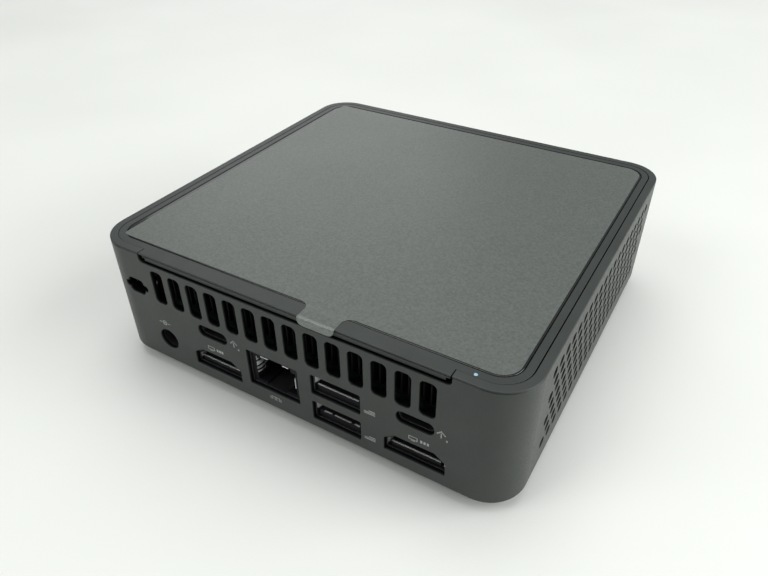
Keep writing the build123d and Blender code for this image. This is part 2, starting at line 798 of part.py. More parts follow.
with BuildPart() as capacitors:
    with BuildSketch(Plane.XY.offset(board_top)):
        with Locations((0, board_front + 2.4)):
            with GridLocations(4.0, 1, 9, 1):
                Rectangle(2.4, 1.6)
    extrude(amount=1.2)
capacitors.part.label = "capacitors"
export_step(capacitors.part, "parts/capacitors.step")

with BuildPart() as board_chips:
    with BuildSketch(Plane.XY.offset(board_bottom)):
        with Locations((-board_half_width + 9.0, -12.0)):
            Rectangle(9.0, 9.0)
        with Locations((board_half_width - 5.0, -10.0)):
            Rectangle(6.0, 6.0)
        with Locations((board_half_width - 5.0, -20.0)):
            Rectangle(5.0, 7.0)
    extrude(amount=-0.9)
board_chips.part.label = "board_chips"
export_step(board_chips.part, "parts/board_chips.step")

# ---- Memory: two stacked sockets with their modules ----
def memory_socket(module_z, socket_drop):
    """Slot bar and two sprung side arms that hold one module."""
    with BuildPart() as socket:
        with BuildSketch(Plane.XY.offset(board_bottom)):
            with Locations((memory_x, socket_front - socket_drop)):
                Rectangle(module_length + 4.0, memory_bar)
        extrude(amount=module_z - 1.0 - board_bottom)
        with BuildSketch(Plane.XY.offset(module_z)):
            with Locations((memory_x, socket_front - socket_drop + memory_bar / 2)):
                Rectangle(module_length + 0.4, 4.0)
        extrude(amount=module_board + 0.1, mode=Mode.SUBTRACT)
        for side in (-1, 1):
            arm_x = memory_x + side * (module_length / 2 + 1.4)
            with BuildSketch(Plane.XY.offset(module_z - 1.0)):
                with Locations((arm_x, socket_front - socket_drop + module_width / 2)):
                    Rectangle(1.2, module_width - 2.0)
            extrude(amount=2.6)
    return socket.part


def memory_module(module_z, socket_drop):
    """Module board with the keying notch in its contact edge."""
    front = socket_front - socket_drop + memory_seat
    with BuildPart() as module:
        with BuildSketch(Plane.XY.offset(module_z)):
            with Locations((memory_x, front + module_width / 2)):
                Rectangle(module_length, module_width)
            with Locations((memory_x + 3.0, front)):
                Rectangle(1.6, 8.0, mode=Mode.SUBTRACT)
            with Locations((memory_x - module_length / 2, front + 20.0), (memory_x + module_length / 2, front + 20.0)):
                Circle(1.1, mode=Mode.SUBTRACT)
        extrude(amount=module_board)
    return module.part


module_levels = [board_bottom - drop for drop in memory_drop]
socket_shift = (0.0, memory_step)
memory_sockets = Compound(children=[memory_socket(z, shift) for z, shift in zip(module_levels, socket_shift)])
memory_sockets.label = "memory_sockets"
export_step(memory_sockets, "parts/memory_sockets.step")
memory_modules = Compound(children=[memory_module(z, shift) for z, shift in zip(module_levels, socket_shift)])
memory_modules.label = "memory_modules"
export_step(memory_modules, "parts/memory_modules.step")

with BuildPart() as memory_chips:
    for level, shift in zip(module_levels, socket_shift):
        with BuildSketch(Plane.XY.offset(level)):
            with Locations((memory_x, socket_front - shift + module_width * 0.62)):
                with GridLocations(15.5, 13.0, 4, 1):
                    Rectangle(9.5, 12.0)
        extrude(amount=-1.0)
memory_chips.part.label = "memory_chips"
export_step(memory_chips.part, "parts/memory_chips.step")

# ---- M.2 drive with its socket, chips, stand-off and screw ----
drive_z = board_bottom - drive_drop
drive_left = drive_x - drive_length / 2
drive_right = drive_x + drive_length / 2
with BuildPart() as drive_board_part:
    with BuildSketch(Plane.XY.offset(drive_z)):
        with Locations((drive_x, drive_y)):
            Rectangle(drive_length, drive_width)
        with Locations((drive_right, drive_y)):
            Circle(1.75, mode=Mode.SUBTRACT)
        with Locations((drive_left, drive_y + 5.0)):
            Rectangle(8.0, 1.2, mode=Mode.SUBTRACT)
    extrude(amount=drive_board)
drive_board_part.part.label = "drive_board"
export_step(drive_board_part.part, "parts/drive_board.step")

with BuildPart() as drive_chips:
    with BuildSketch(Plane.XY.offset(drive_z)):
        with Locations((drive_x - 22.0, drive_y)):
            Rectangle(12.0, 13.0)
        with Locations((drive_x + 2.0, drive_y), (drive_x + 22.0, drive_y)):
            Rectangle(16.0, 18.0)
    extrude(amount=-1.2)
drive_chips.part.label = "drive_chips"
export_step(drive_chips.part, "parts/drive_chips.step")

with BuildPart() as drive_standoff:
    with BuildSketch(Plane.XY.offset(board_bottom)):
        with Locations((drive_right, drive_y)):
            RegularPolygon(2.6, 6)
            Circle(screw_hole_radius, mode=Mode.SUBTRACT)
    extrude(amount=drive_z + drive_board - board_bottom)
drive_standoff.part.label = "drive_standoff"
export_step(drive_standoff.part, "parts/drive_standoff.step")

drive_screw = screws([(drive_right, drive_y)], drive_z, 2.6, 0.9, screw_hole_radius - 0.05, 4.0)
drive_screw.label = "drive_screw"
export_step(drive_screw, "parts/drive_screw.step")

# ---- Wireless card above the drive ----
card_z = board_bottom - card_drop
card_left = drive_left + 8.0
with BuildPart() as wireless_card:
    with BuildSketch(Plane.XY.offset(card_z)):
        with Locations((card_left + card_length / 2, drive_y)):
            Rectangle(card_length, drive_width)
    extrude(amount=drive_board)
    with BuildSketch(Plane.XY.offset(card_z)):
        with Locations((card_left + card_length / 2, drive_y)):
            RectangleRounded(20.0, 17.0, 0.5)
    extrude(amount=-1.2)
wireless_card.part.label = "wireless_card"
export_step(wireless_card.part, "parts/wireless_card.step")

# ---- Edge sockets that hold the drive and the wireless card ----
with BuildPart() as card_sockets:
    with BuildSketch(Plane.XY.offset(board_bottom)):
        with Locations((drive_left - 1.0, drive_y)):
            Rectangle(7.0, drive_width)
    extrude(amount=drive_z - 1.0 - board_bottom)
    with BuildSketch(Plane.XY.offset(drive_z)):
        with Locations((drive_left + 2.0, drive_y)):
            Rectangle(6.0, drive_width + 1)
    extrude(amount=drive_board + 0.1, mode=Mode.SUBTRACT)
    with BuildSketch(Plane.XY.offset(board_bottom)):
        with Locations((card_left - 1.5, drive_y)):
            Rectangle(3.0, drive_width)
    extrude(amount=card_z - 0.5 - board_bottom)
card_sockets.part.label = "card_sockets"
export_step(card_sockets.part, "parts/card_sockets.step")

# ---- Antennas stuck inside the front wall ----
with BuildPart() as antennas:
    with BuildSketch(Plane.XZ.offset(inner_y - seam)):
        with Locations((-20.0, 29.5), (20.0, 29.5)):
            Rectangle(30.0, 6.0)
    extrude(amount=-0.6)
antennas.part.label = "antennas"
export_step(antennas.part, "parts/antennas.step")

# ---- Rear ports ----
usb_a_shells = Compound(
    children=[
        socket_shell(usb_a_outline, usb_a_inner, port_front, port_depth, usb_a_x, z)
        for z in (usb_a_upper_z, usb_a_lower_z)
    ]
    + [
        socket_shell(usb_a_outline, usb_a_inner, -port_front, port_depth, x, usb_a_upper_z, facing_rear=False)
        for x in front_usb_x
    ]
)
usb_a_shells.label = "usb_a_shells"
export_step(usb_a_shells, "parts/usb_a_shells.step")

usb_a_tongue_length = port_depth - shell_metal - usb_a_tongue_setback
with BuildPart() as usb_a_tongues:
    for z in (usb_a_upper_z, usb_a_lower_z):
        with BuildSketch(rear_plane(port_front - port_depth + shell_metal)):
            with Locations((usb_a_x, z - usb_a_tongue_drop)):
                Rectangle(usb_a_width - 1.8, usb_a_tongue_thickness)
        extrude(amount=-usb_a_tongue_length)
    for x in front_usb_x:
        with BuildSketch(Plane.XZ.offset(port_front - port_depth + shell_metal)):
            with Locations((x, usb_a_upper_z - usb_a_tongue_drop)):
                Rectangle(usb_a_width - 1.8, usb_a_tongue_thickness)
        extrude(amount=usb_a_tongue_length)
usb_a_tongues.part.label = "usb_a_tongues"
export_step(usb_a_tongues.part, "parts/usb_a_tongues.step")

usb_c_shells = Compound(
    children=[
        socket_shell(usb_c_outline, usb_c_inner, port_front, usb_c_depth, stack_left_x, usb_c_z),
        socket_shell(usb_c_outline, usb_c_inner, port_front, usb_c_depth, stack_right_x, usb_c_z),
        socket_shell(usb_c_outline, usb_c_inner, -port_front, usb_c_depth, front_usb_c_x, usb_c_z,
                     facing_rear=False),
    ]
)
usb_c_shells.label = "usb_c_shells"
export_step(usb_c_shells, "parts/usb_c_shells.step")

with BuildPart() as usb_c_tongues:
    for x in (stack_left_x, stack_right_x):
        with BuildSketch(rear_plane(port_front - usb_c_depth + shell_metal)):
            with Locations((x, usb_c_z)):
                Rectangle(6.6, 0.7)
        extrude(amount=-(usb_c_depth - shell_metal - usb_c_tongue_setback))
    with BuildSketch(Plane.XZ.offset(port_front - usb_c_depth + shell_metal)):
        with Locations((front_usb_c_x, usb_c_z)):
            Rectangle(6.6, 0.7)
    extrude(amount=usb_c_depth - shell_metal - usb_c_tongue_setback)
usb_c_tongues.part.label = "usb_c_tongues"
export_step(usb_c_tongues.part, "parts/usb_c_tongues.step")

video_shells = Compound(
    children=[
        socket_shell(video_outline, lambda: video_outline(-shell_metal), port_front, video_depth, x, video_z)
        for x in (stack_left_x, stack_right_x)
    ]
)
video_shells.label = "video_shells"
export_step(video_shells, "parts/video_shells.step")

with BuildPart() as video_tongues:
    for x in (stack_left_x, stack_right_x):
        with BuildSketch(rear_plane(port_front - video_depth + shell_metal)):
            with Locations((x, video_z - video_tongue_drop)):
                Rectangle(12.4, 1.2)
        extrude(amount=-(video_depth - shell_metal - video_tongue_setback))
video_tongues.part.label = "video_tongues"
export_step(video_tongues.part, "parts/video_tongues.step")

# Plastic carriers that hang each video port and USB-C pair under the board.
carrier_front = inner_y - 0.3
with BuildPart() as port_carriers:
    for x in (stack_left_x, stack_right_x):
        carrier_low = video_z - video_height / 2 - 0.8
        with BuildSketch(rear_plane(carrier_front)):
            with Locations((x, (board_bottom + carrier_low) / 2)):
                Rectangle(video_width + 1.6, board_bottom - carrier_low)
        extrude(amount=video_depth + 1.0)
        with BuildSketch(rear_plane(carrier_front + 1)):
            with Locations((x, video_z)):
                video_outline()
        extrude(amount=video_depth - port_setback + 1.0 + 0.3, mode=Mode.SUBTRACT)
        with BuildSketch(rear_plane(carrier_front + 1)):
            with Locations((x, usb_c_z)):
                usb_c_outline()
        extrude(amount=usb_c_depth - port_setback + 1.0 + 0.3, mode=Mode.SUBTRACT)
port_carriers.part.label = "port_carriers"
export_step(port_carriers.part, "parts/port_carriers.step")

# ---- Network jack: shield can, insert and eight contact springs ----
cavity_z = network_z - network_cavity_drop
with BuildPart() as network_jack:
    with BuildSketch(rear_plane(port_front)):
        with Locations((network_x, network_z)):
            Rectangle(network_width, network_height)
    extrude(amount=network_depth)
    with BuildSketch(rear_plane(port_front)):
        with Locations((network_x, network_z)):
            Rectangle(network_width - 2 * shell_metal, network_height - 2 * shell_metal)
    extrude(amount=network_depth - shell_metal, mode=Mode.SUBTRACT)
network_jack.part.label = "network_jack_shield"
export_step(network_jack.part, "parts/network_jack_shield.step")

with BuildPart() as network_insert:
    with BuildSketch(rear_plane(port_front - 0.3)):
        with Locations((network_x, network_z)):
            Rectangle(network_width - 2 * shell_metal, network_height - 2 * shell_metal)
        with Locations((network_x, cavity_z)):
            Rectangle(network_cavity_width, network_cavity_height, mode=Mode.SUBTRACT)
        with Locations((network_x, cavity_z - network_cavity_height / 2 - 0.6)):
            Rectangle(6.4, 1.6, mode=Mode.SUBTRACT)
        with Locations((network_x, cavity_z + network_cavity_height / 2 + 0.6)):
            Rectangle(9.2, 1.3, mode=Mode.SUBTRACT)
    extrude(amount=network_depth - 1.5)
network_insert.part.label = "network_jack_insert"
export_step(network_insert.part, "parts/network_jack_insert.step")

with BuildPart() as network_contacts:
    with BuildSketch(rear_plane(port_front - 2.5)):
        with Locations((network_x, cavity_z + network_cavity_height / 2 + 0.9)):
            with GridLocations(1.02, 1, 8, 1):
                Rectangle(0.4, 0.4)
    extrude(amount=10.0)
network_contacts.part.label = "network_contacts"
export_step(network_contacts.part, "parts/network_contacts.step")

# ---- Power jack: moulded body with its bore, and the centre pin ----
jack_body_front = inner_y - seam
with BuildPart() as power_jack:
    with BuildSketch(rear_plane(jack_body_front)):
        jack_low = jack_z - 4.4
        with Locations((jack_x, (board_bottom + jack_low) / 2)):
            Rectangle(9.0, board_bottom - jack_low)
    extrude(amount=jack_body_depth)
    with BuildSketch(rear_plane(jack_body_front)):
        with Locations((jack_x, jack_z)):
            Circle(jack_opening / 2 - 0.05)
    extrude(amount=-(wall - port_setback + seam))
    with BuildSketch(rear_plane(half_depth)):
        with Locations((jack_x, jack_z)):
            Circle(jack_bore / 2)
    extrude(amount=jack_bore_depth + port_setback, mode=Mode.SUBTRACT)
power_jack.part.label = "power_jack"
export_step(power_jack.part, "parts/power_jack.step")

with BuildPart() as power_jack_pin:
    with BuildSketch(rear_plane(half_depth - port_setback - jack_bore_depth)):
        with Locations((jack_x, jack_z)):
            Circle(jack_pin / 2)
    extrude(amount=-(jack_bore_depth - 1.2))
    fillet(power_jack_pin.faces().sort_by(Axis.Y)[-1].edges(), 0.4)
power_jack_pin.part.label = "power_jack_pin"
export_step(power_jack_pin.part, "parts/power_jack_pin.step")

# ---- Lock plate behind the lock slot ----
with BuildPart() as lock_plate:
    with BuildSketch(rear_plane(inner_y - 0.6)):
        with Locations((lock_slot_x, lock_slot_z)):
            Rectangle(9.6, 4.2)
            RectangleRounded(7.0, 3.0, 1.2, mode=Mode.SUBTRACT)
    extrude(amount=0.8)
lock_plate.part.label = "lock_plate"
export_step(lock_plate.part, "parts/lock_plate.step")

# ---- Power button, its light ring, the switch and the activity light ----
with BuildPart() as power_button:
    with BuildSketch(Plane.XZ.offset(inner_y - gap)):
        with Locations((button_x, button_z)):
            Circle(button_radius)
    extrude(amount=wall + gap + button_proud)
    fillet(power_button.faces().sort_by(Axis.Y)[0].edges(), 0.5)
    with BuildSketch(Plane.XZ.offset(inner_y - gap)):
        with Locations((button_x, button_z)):
            Circle(button_radius + button_flange)
    extrude(amount=-0.9)
    with BuildSketch(Plane.XZ.offset(inner_y - gap - 0.9)):
        with Locations((button_x, button_z)):
            Circle(1.5)
    extrude(amount=-1.6)
power_button.part.label = "power_button"
export_step(power_button.part, "parts/power_button.step")

with BuildPart() as button_ring:
    with BuildSketch(Plane.XZ.offset(inner_y)):
        with Locations((button_x, button_z)):
            Circle(button_radius + gap + button_ring_width)
            Circle(button_radius + gap, mode=Mode.SUBTRACT)
    extrude(amount=wall)
button_ring.part.label = "button_light_ring"
export_step(button_ring.part, "parts/button_light_ring.step")

plunger_front = inner_y - gap - 0.9 - 1.6
with BuildPart() as switch_plunger:
    with BuildSketch(Plane.XZ.offset(plunger_front)):
        with Locations((button_x, button_z)):
            Circle(1.0)
    extrude(amount=-1.6)
switch_plunger.part.label = "switch_plunger"
export_step(switch_plunger.part, "parts/switch_plunger.step")

switch_front = plunger_front - button_travel - gap
with BuildPart() as power_switch:
    with BuildSketch(Plane.XZ.offset(switch_front)):
        with Locations((button_x, (button_z - 2.2 + board_bottom) / 2)):
            Rectangle(6.2, board_bottom - button_z + 2.2)
    extrude(amount=-4.0)
    with BuildSketch(Plane.XZ.offset(switch_front)):
        with Locations((button_x, button_z)):
            Circle(1.0 + 0.08)
    extrude(amount=-1.8, mode=Mode.SUBTRACT)
power_switch.part.label = "power_switch"
export_step(power_switch.part, "parts/power_switch.step")

with BuildPart() as activity_light:
    with BuildSketch(Plane.XZ.offset(inner_y - 1.2)):
        with Locations((activity_x, button_z)):
            Circle(activity_radius - 0.02)
    extrude(amount=wall + 1.2)
activity_light.part.label = "activity_light"
export_step(activity_light.part, "parts/activity_light.step")

# ---- Bottom cover with hinge knuckles, latch slot and bosses ----
knuckle_offset = hinge_ear_width / 2 + gap + hinge_knuckle / 2
cover_front = hinge_y - 1.0
cover_rear = inner_y - cover_side_gap
cover_half_width = inner_x - cover_side_gap
foot_points = [(sx * (half_width - foot_inset), sy * (half_depth - foot_inset)) for sx in (-1, 1) for sy in (-1, 1)]
insert_points = [(-insert_spacing / 2, insert_y), (insert_spacing / 2, insert_y)]
latch_y = cover_rear - 4.0 - latch_depth / 2
with BuildPart() as bottom_cover:
    with BuildSketch(Plane.XY.offset(cover_bottom)):
        with Locations((0, (cover_front + cover_rear) / 2)):
            RectangleRounded(2 * cover_half_width, cover_rear - cover_front, cover_corner)
    extrude(amount=cover_plate)
    fillet(bottom_cover.faces().sort_by(Axis.Z)[0].edges(), 0.5)
    # Notches that clear the chassis ears.
    with BuildSketch(Plane.XY.offset(cover_bottom)):
        with Locations((-hinge_x, hinge_y), (hinge_x, hinge_y)):
            Rectangle(hinge_ear_width + 2 * gap, 5.6)
    extrude(amount=cover_plate, mode=Mode.SUBTRACT)
    # Knuckles on both sides of each ear.
    for ear_x in (-hinge_x, hinge_x):
        for side in (-1, 1):
            with BuildSketch(Plane.YZ.offset(ear_x + side * knuckle_offset - hinge_knuckle / 2)):
                with Locations((hinge_y, hinge_z)):
                    Circle(1.6)
                with Locations((hinge_y + 0.3, (hinge_z + cover_top) / 2 - 0.2)):
                    Rectangle(2.6, hinge_z - cover_top + 0.4)
            extrude(amount=hinge_knuckle)
            with BuildSketch(Plane.YZ.offset(ear_x + side * knuckle_offset - hinge_knuckle / 2)):
                with Locations((hinge_y, hinge_z)):
                    Circle(hinge_pin_radius)
            extrude(amount=hinge_knuckle, mode=Mode.SUBTRACT)
    # Slot that the latch slides in.
    with BuildSketch(Plane.XY.offset(cover_bottom)):
        with Locations((-latch_travel / 2, latch_y)):
            RectangleRounded(latch_width + latch_travel + 2 * gap, latch_depth + 2 * gap, 1.0)
    extrude(amount=cover_plate, mode=Mode.SUBTRACT)
    # Air slots under the memory and the drive.
    with BuildSketch(Plane.XY.offset(cover_bottom)):
        for slot_y in (-38.0, 34.0):
            with Locations((0, slot_y)):
                with GridLocations(5.0, 1, 11, 1):
                    SlotOverall(8.0, 1.8, rotation=90)
    extrude(amount=cover_plate, mode=Mode.SUBTRACT)
    # Bosses for the bracket inserts.
    with BuildSketch(Plane.XY.offset(cover_top)):
        with Locations(*insert_points):
            Circle(insert_radius + 1.2)
    extrude(amount=1.6)
    with BuildSketch(Plane.XY.offset(cover_bottom)):
        with Locations(*insert_points):
            Circle(insert_radius)
    extrude(amount=cover_plate + 1.6, mode=Mode.SUBTRACT)
bottom_cover.part.label = "bottom_cover"
export_step(bottom_cover.part, "parts/bottom_cover.step")

with BuildPart() as bracket_inserts:
    with BuildSketch(Plane.XY.offset(cover_bottom)):
        with Locations(*insert_points):
            Circle(insert_radius)
            Circle(insert_hole, mode=Mode.SUBTRACT)
    extrude(amount=cover_plate + 1.6)
bracket_inserts.part.label = "bracket_inserts"
export_step(bracket_inserts.part, "parts/bracket_inserts.step")

with BuildPart() as cover_hinge_pins:
    pin_length = hinge_ear_width + 2 * gap + 2 * hinge_knuckle
    for ear_x in (-hinge_x, hinge_x):
        with BuildSketch(Plane.YZ.offset(ear_x - pin_length / 2)):
            with Locations((hinge_y, hinge_z)):
                Circle(hinge_pin_radius)
        extrude(amount=pin_length)
cover_hinge_pins.part.label = "cover_hinge_pins"
export_step(cover_hinge_pins.part, "parts/cover_hinge_pins.step")

with BuildPart() as rubber_feet:
    with BuildSketch():
        with Locations(*foot_points):
            Circle(foot_radius)
    extrude(amount=foot_height)
    fillet(rubber_feet.faces().group_by(Axis.Z)[0].edges(), 0.4)
rubber_feet.part.label = "rubber_feet"
export_step(rubber_feet.part, "parts/rubber_feet.step")

# ---- Cover latch: thumb slide with a tongue that runs over the chassis catch ----
with BuildPart() as cover_latch:
    with BuildSketch(Plane.XY.offset(cover_bottom + 0.2)):
        with Locations((0, latch_y)):
            RectangleRounded(latch_width, latch_depth, 0.8)
    extrude(amount=cover_plate + gap - 0.2)
    with BuildSketch(Plane.XY.offset(cover_bottom + 0.2)):
        with Locations((0, latch_y)):
            with GridLocations(1.6, 1, 5, 1):
                Rectangle(0.7, latch_depth - 2.0)
    extrude(amount=0.4, mode=Mode.SUBTRACT)
    with BuildSketch(Plane.XY.offset(cover_top + gap)):
        with Locations((0, latch_y)):
            Rectangle(latch_width + 2.0, latch_depth + 2.0)
    extrude(amount=1.2)
    with BuildSketch(Plane.XY.offset(cover_top + gap + 1.2)):
        with Locations((0, (latch_y + inner_y - 0.5) / 2)):
            Rectangle(latch_tongue, inner_y - 0.5 - latch_y)
    extrude(amount=1.0)
cover_latch.part.label = "cover_latch"
export_step(cover_latch.part, "parts/cover_latch.step")

# ---- Cooling plate for the drive, on the cover, with its thermal pad ----
pad_thickness = 1.0
drive_face = drive_z - 1.2
plate_high = drive_face - gap - pad_thickness
with BuildPart() as drive_cooling_plate:
    with BuildSketch(Plane.YZ.offset(drive_left + 8.0)):
        with Locations((drive_y, (cover_top + plate_high) / 2)):
            Rectangle(20.0, plate_high - cover_top)
        with Locations((drive_y, (cover_top + plate_high) / 2 - 0.6)):
            Rectangle(17.6, plate_high - cover_top - 1.2, mode=Mode.SUBTRACT)
        with Locations((drive_y - 12.0, cover_top + 0.3), (drive_y + 12.0, cover_top + 0.3)):
            Rectangle(6.0, 0.6)
    extrude(amount=drive_length - 18.0)
drive_cooling_plate.part.label = "drive_cooling_plate"
export_step(drive_cooling_plate.part, "parts/drive_cooling_plate.step")

with BuildPart() as thermal_pad:
    with BuildSketch(Plane.XY.offset(plate_high)):
        with Locations((drive_x - 1.0, drive_y)):
            Rectangle(drive_length - 20.0, 18.0)
    extrude(amount=pad_thickness)
thermal_pad.part.label = "thermal_pad"
export_step(thermal_pad.part, "parts/thermal_pad.step")
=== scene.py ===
import math
import random

import bmesh
import bpy
from mathutils import Matrix, Vector


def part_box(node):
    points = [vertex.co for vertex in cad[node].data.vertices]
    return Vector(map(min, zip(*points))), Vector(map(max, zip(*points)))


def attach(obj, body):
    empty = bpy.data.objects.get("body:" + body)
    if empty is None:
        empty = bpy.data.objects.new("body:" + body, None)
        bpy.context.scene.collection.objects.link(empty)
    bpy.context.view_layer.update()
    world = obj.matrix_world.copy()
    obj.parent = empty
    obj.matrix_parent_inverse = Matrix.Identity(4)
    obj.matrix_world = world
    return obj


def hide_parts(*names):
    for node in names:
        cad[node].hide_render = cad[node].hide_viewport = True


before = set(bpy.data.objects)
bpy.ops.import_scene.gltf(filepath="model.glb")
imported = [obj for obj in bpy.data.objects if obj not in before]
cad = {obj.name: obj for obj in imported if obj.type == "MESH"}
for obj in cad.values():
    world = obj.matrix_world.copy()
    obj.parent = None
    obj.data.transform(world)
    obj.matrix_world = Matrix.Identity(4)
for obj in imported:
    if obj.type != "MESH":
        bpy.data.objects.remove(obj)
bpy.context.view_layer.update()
mm = 0.001

# ---- Camera ----
# Held at arm's length above the rear right corner, so that it sees the lid, the ports in the rear wall
# and, at a very flat angle, the perforated right wall.
eye = Vector((-78.71, 141.25, 125.44)) * mm
aim = Vector((-16.74, 37.49, 36.59)) * mm
camera_data = bpy.data.cameras.new("studio_camera")
camera_data.sensor_width = 36.0
camera_data.lens = 30.845
camera_data.clip_start = 0.005
camera = bpy.data.objects.new("studio_camera", camera_data)
bpy.context.scene.collection.objects.link(camera)
camera_turn = (aim - eye).to_track_quat("-Z", "Y").to_matrix().to_4x4()
camera_tilt = Matrix.Rotation(math.radians(-0.321), 4, "Z")
camera.matrix_world = Matrix.Translation(eye) @ camera_turn @ camera_tilt
bpy.context.scene.camera = camera

# ---- Table and light ----
# A large sheet of matt white board in a bright room. Soft light comes from above, from a window on the
# right and from pale cards that stand round the table.
bpy.context.scene.view_settings.view_transform = "Standard"


def new_mesh(name, build):
    """A mesh object whose shape is made by build(), which is handed an empty bmesh."""
    work = bmesh.new()
    build(work)
    data = bpy.data.meshes.new(name)
    work.to_mesh(data)
    work.free()
    piece = bpy.data.objects.new(name, data)
    bpy.context.scene.collection.objects.link(piece)
    return piece


def new_material(name):
    """An empty Principled material, with its node tree and shader."""
    material = bpy.data.materials.new(name)
    material.use_nodes = True
    tree = material.node_tree
    return material, tree, tree.nodes["Principled BSDF"]


def noise(tree, size, detail=2.0, stretch=(1, 1, 1)):
    """Noise whose lumps are about size metres across, fixed to the piece."""
    place = tree.nodes.new("ShaderNodeTexCoord")
    scaled = tree.nodes.new("ShaderNodeMapping")
    scaled.inputs["Scale"].default_value = stretch
    texture = tree.nodes.new("ShaderNodeTexNoise")
    texture.inputs["Scale"].default_value = 1.0 / size
    texture.inputs["Detail"].default_value = detail
    tree.links.new(place.outputs["Object"], scaled.inputs["Vector"])
    tree.links.new(scaled.outputs["Vector"], texture.inputs["Vector"])
    return texture.outputs["Fac"]


def between(tree, amount, low, high, start=0.3, end=0.7):
    """The range start to end of amount, mapped to low to high."""
    ranged = tree.nodes.new("ShaderNodeMapRange")
    ranged.inputs["From Min"].default_value = start
    ranged.inputs["From Max"].default_value = end
    ranged.inputs["To Min"].default_value = low
    ranged.inputs["To Max"].default_value = high
    tree.links.new(amount, ranged.inputs["Value"])
    return ranged.outputs["Result"]


def tint(tree, amount, first, second, start=0.35, end=0.65):
    """Colour that goes from first to second as amount goes from start to end."""
    ramp = tree.nodes.new("ShaderNodeValToRGB")
    ramp.color_ramp.elements[0].position = start
    ramp.color_ramp.elements[1].position = end
    ramp.color_ramp.elements[0].color = (*first, 1)
    ramp.color_ramp.elements[1].color = (*second, 1)
    tree.links.new(amount, ramp.inputs["Fac"])
    return ramp.outputs["Color"]


def relief(tree, shader, height, depth, edge=0.0):
    """Bump of that depth in metres, over edges that are rounded by edge metres."""
    bump = tree.nodes.new("ShaderNodeBump")
    bump.inputs["Strength"].default_value = 1.0
    bump.inputs["Distance"].default_value = depth
    tree.links.new(height, bump.inputs["Height"])
    if edge:
        rounded = tree.nodes.new("ShaderNodeBevel")
        rounded.samples = 4
        rounded.inputs["Radius"].default_value = edge
        tree.links.new(rounded.outputs["Normal"], bump.inputs["Normal"])
    tree.links.new(bump.outputs["Normal"], shader.inputs["Normal"])


def shades(colour, spread):
    """Two tones of one colour, darker and lighter by spread."""
    return [channel * (1 - spread) for channel in colour], [channel * (1 + spread) for channel in colour]


table_material, table_nodes, table_shader = new_material("white_board")
table_tone = tint(table_nodes, noise(table_nodes, 0.12), (0.715, 0.73, 0.70), (0.745, 0.76, 0.73))
table_nodes.links.new(table_tone, table_shader.inputs["Base Color"])
table_shader.inputs["Roughness"].default_value = 0.6
relief(table_nodes, table_shader, noise(table_nodes, 0.0006), 0.00002)
table = new_mesh("table", lambda work: bmesh.ops.create_grid(work, x_segments=8, y_segments=8, size=3.0))
table.data.materials.append(table_material)

room = bpy.data.worlds.new("bright_room")
room.use_nodes = True
room.node_tree.nodes["Background"].inputs["Color"].default_value = (0.93, 0.97, 0.95, 1)
room.node_tree.nodes["Background"].inputs["Strength"].default_value = 0.34
bpy.context.scene.world = room


def softbox(name, place, target, width, height, power):
    """A large rectangular light that faces target."""
    data = bpy.data.lights.new(name, "AREA")
    data.shape = "RECTANGLE"
    data.size = width
    data.size_y = height
    data.energy = power
    lamp = bpy.data.objects.new(name, data)
    bpy.context.scene.collection.objects.link(lamp)
    lamp.location = place
    lamp.rotation_euler = (Vector(target) - Vector(place)).to_track_quat("-Z", "Y").to_euler()


softbox("window", (-1.05, -0.35, 0.7), (0, 0, 0.02), 0.9, 0.7, 11.0)
softbox("side_card", (-0.9, 0.1, 0.3), (0, 0, 0.02), 0.6, 0.3, 2.2)
softbox("ceiling", (0.15, -0.2, 1.5), (0, 0, 0), 1.2, 1.0, 11.0)
softbox("far_card", (0.85, -1.05, 0.66), (0, 0, 0.03), 0.8, 0.7, 2.0)
softbox("near_card", (0.5, 0.72, 0.85), (0, 0, 0.03), 0.5, 0.5, 3.5)


def finish(material, *names):
    """Puts material on those CAD nodes."""
    for name in names:
        for place in cad[name].material_slots:
            place.material = material


# ---- Chassis shell and top frame ----
# One moulding holds the four walls, with vents, ports and perforated sides, and a second one makes the rim.
# Both are glass-filled plastic with the fine matt grain of a spark-eroded mould. On the shell, faces that
# lie more than 0.2 mm inside the outline, within the vents and ports, are painted near black as painted
# shade.
def plastic(name, colour, roughness, grain, depth, edge=0.12 * mm, spread=0.08, shine=0.3):
    """Moulded plastic with a fine grain, slow changes of tone and slightly rounded edges."""
    material, tree, shader = new_material(name)
    shader.inputs["Specular IOR Level"].default_value = shine
    tone = tint(tree, noise(tree, 9 * mm, 4), *shades(colour, spread))
    tree.links.new(tone, shader.inputs["Base Color"])
    sheen = between(tree, noise(tree, grain * 2.5, 3), roughness - 0.05, roughness + 0.05)
    tree.links.new(sheen, shader.inputs["Roughness"])
    relief(tree, shader, noise(tree, grain, 3), depth, edge)
    return material


case_colour = (0.036, 0.041, 0.038)
# Painted shade: the near black colour for faces inside the vents and ports.
opening_shade_colour = (0.0035, 0.0035, 0.0045)
case_roughness = 0.42
case_grain = 0.22 * mm
grain_depth = 0.012 * mm
case_corner = 9.5 * mm
opening_shade_full_depth = -0.5 * mm
opening_shade_end_depth = -0.2 * mm
opening_shade_shine = 0.08
outline_shine = 0.3
finish(plastic("case_plastic", case_colour, case_roughness, case_grain, grain_depth), "top_frame")


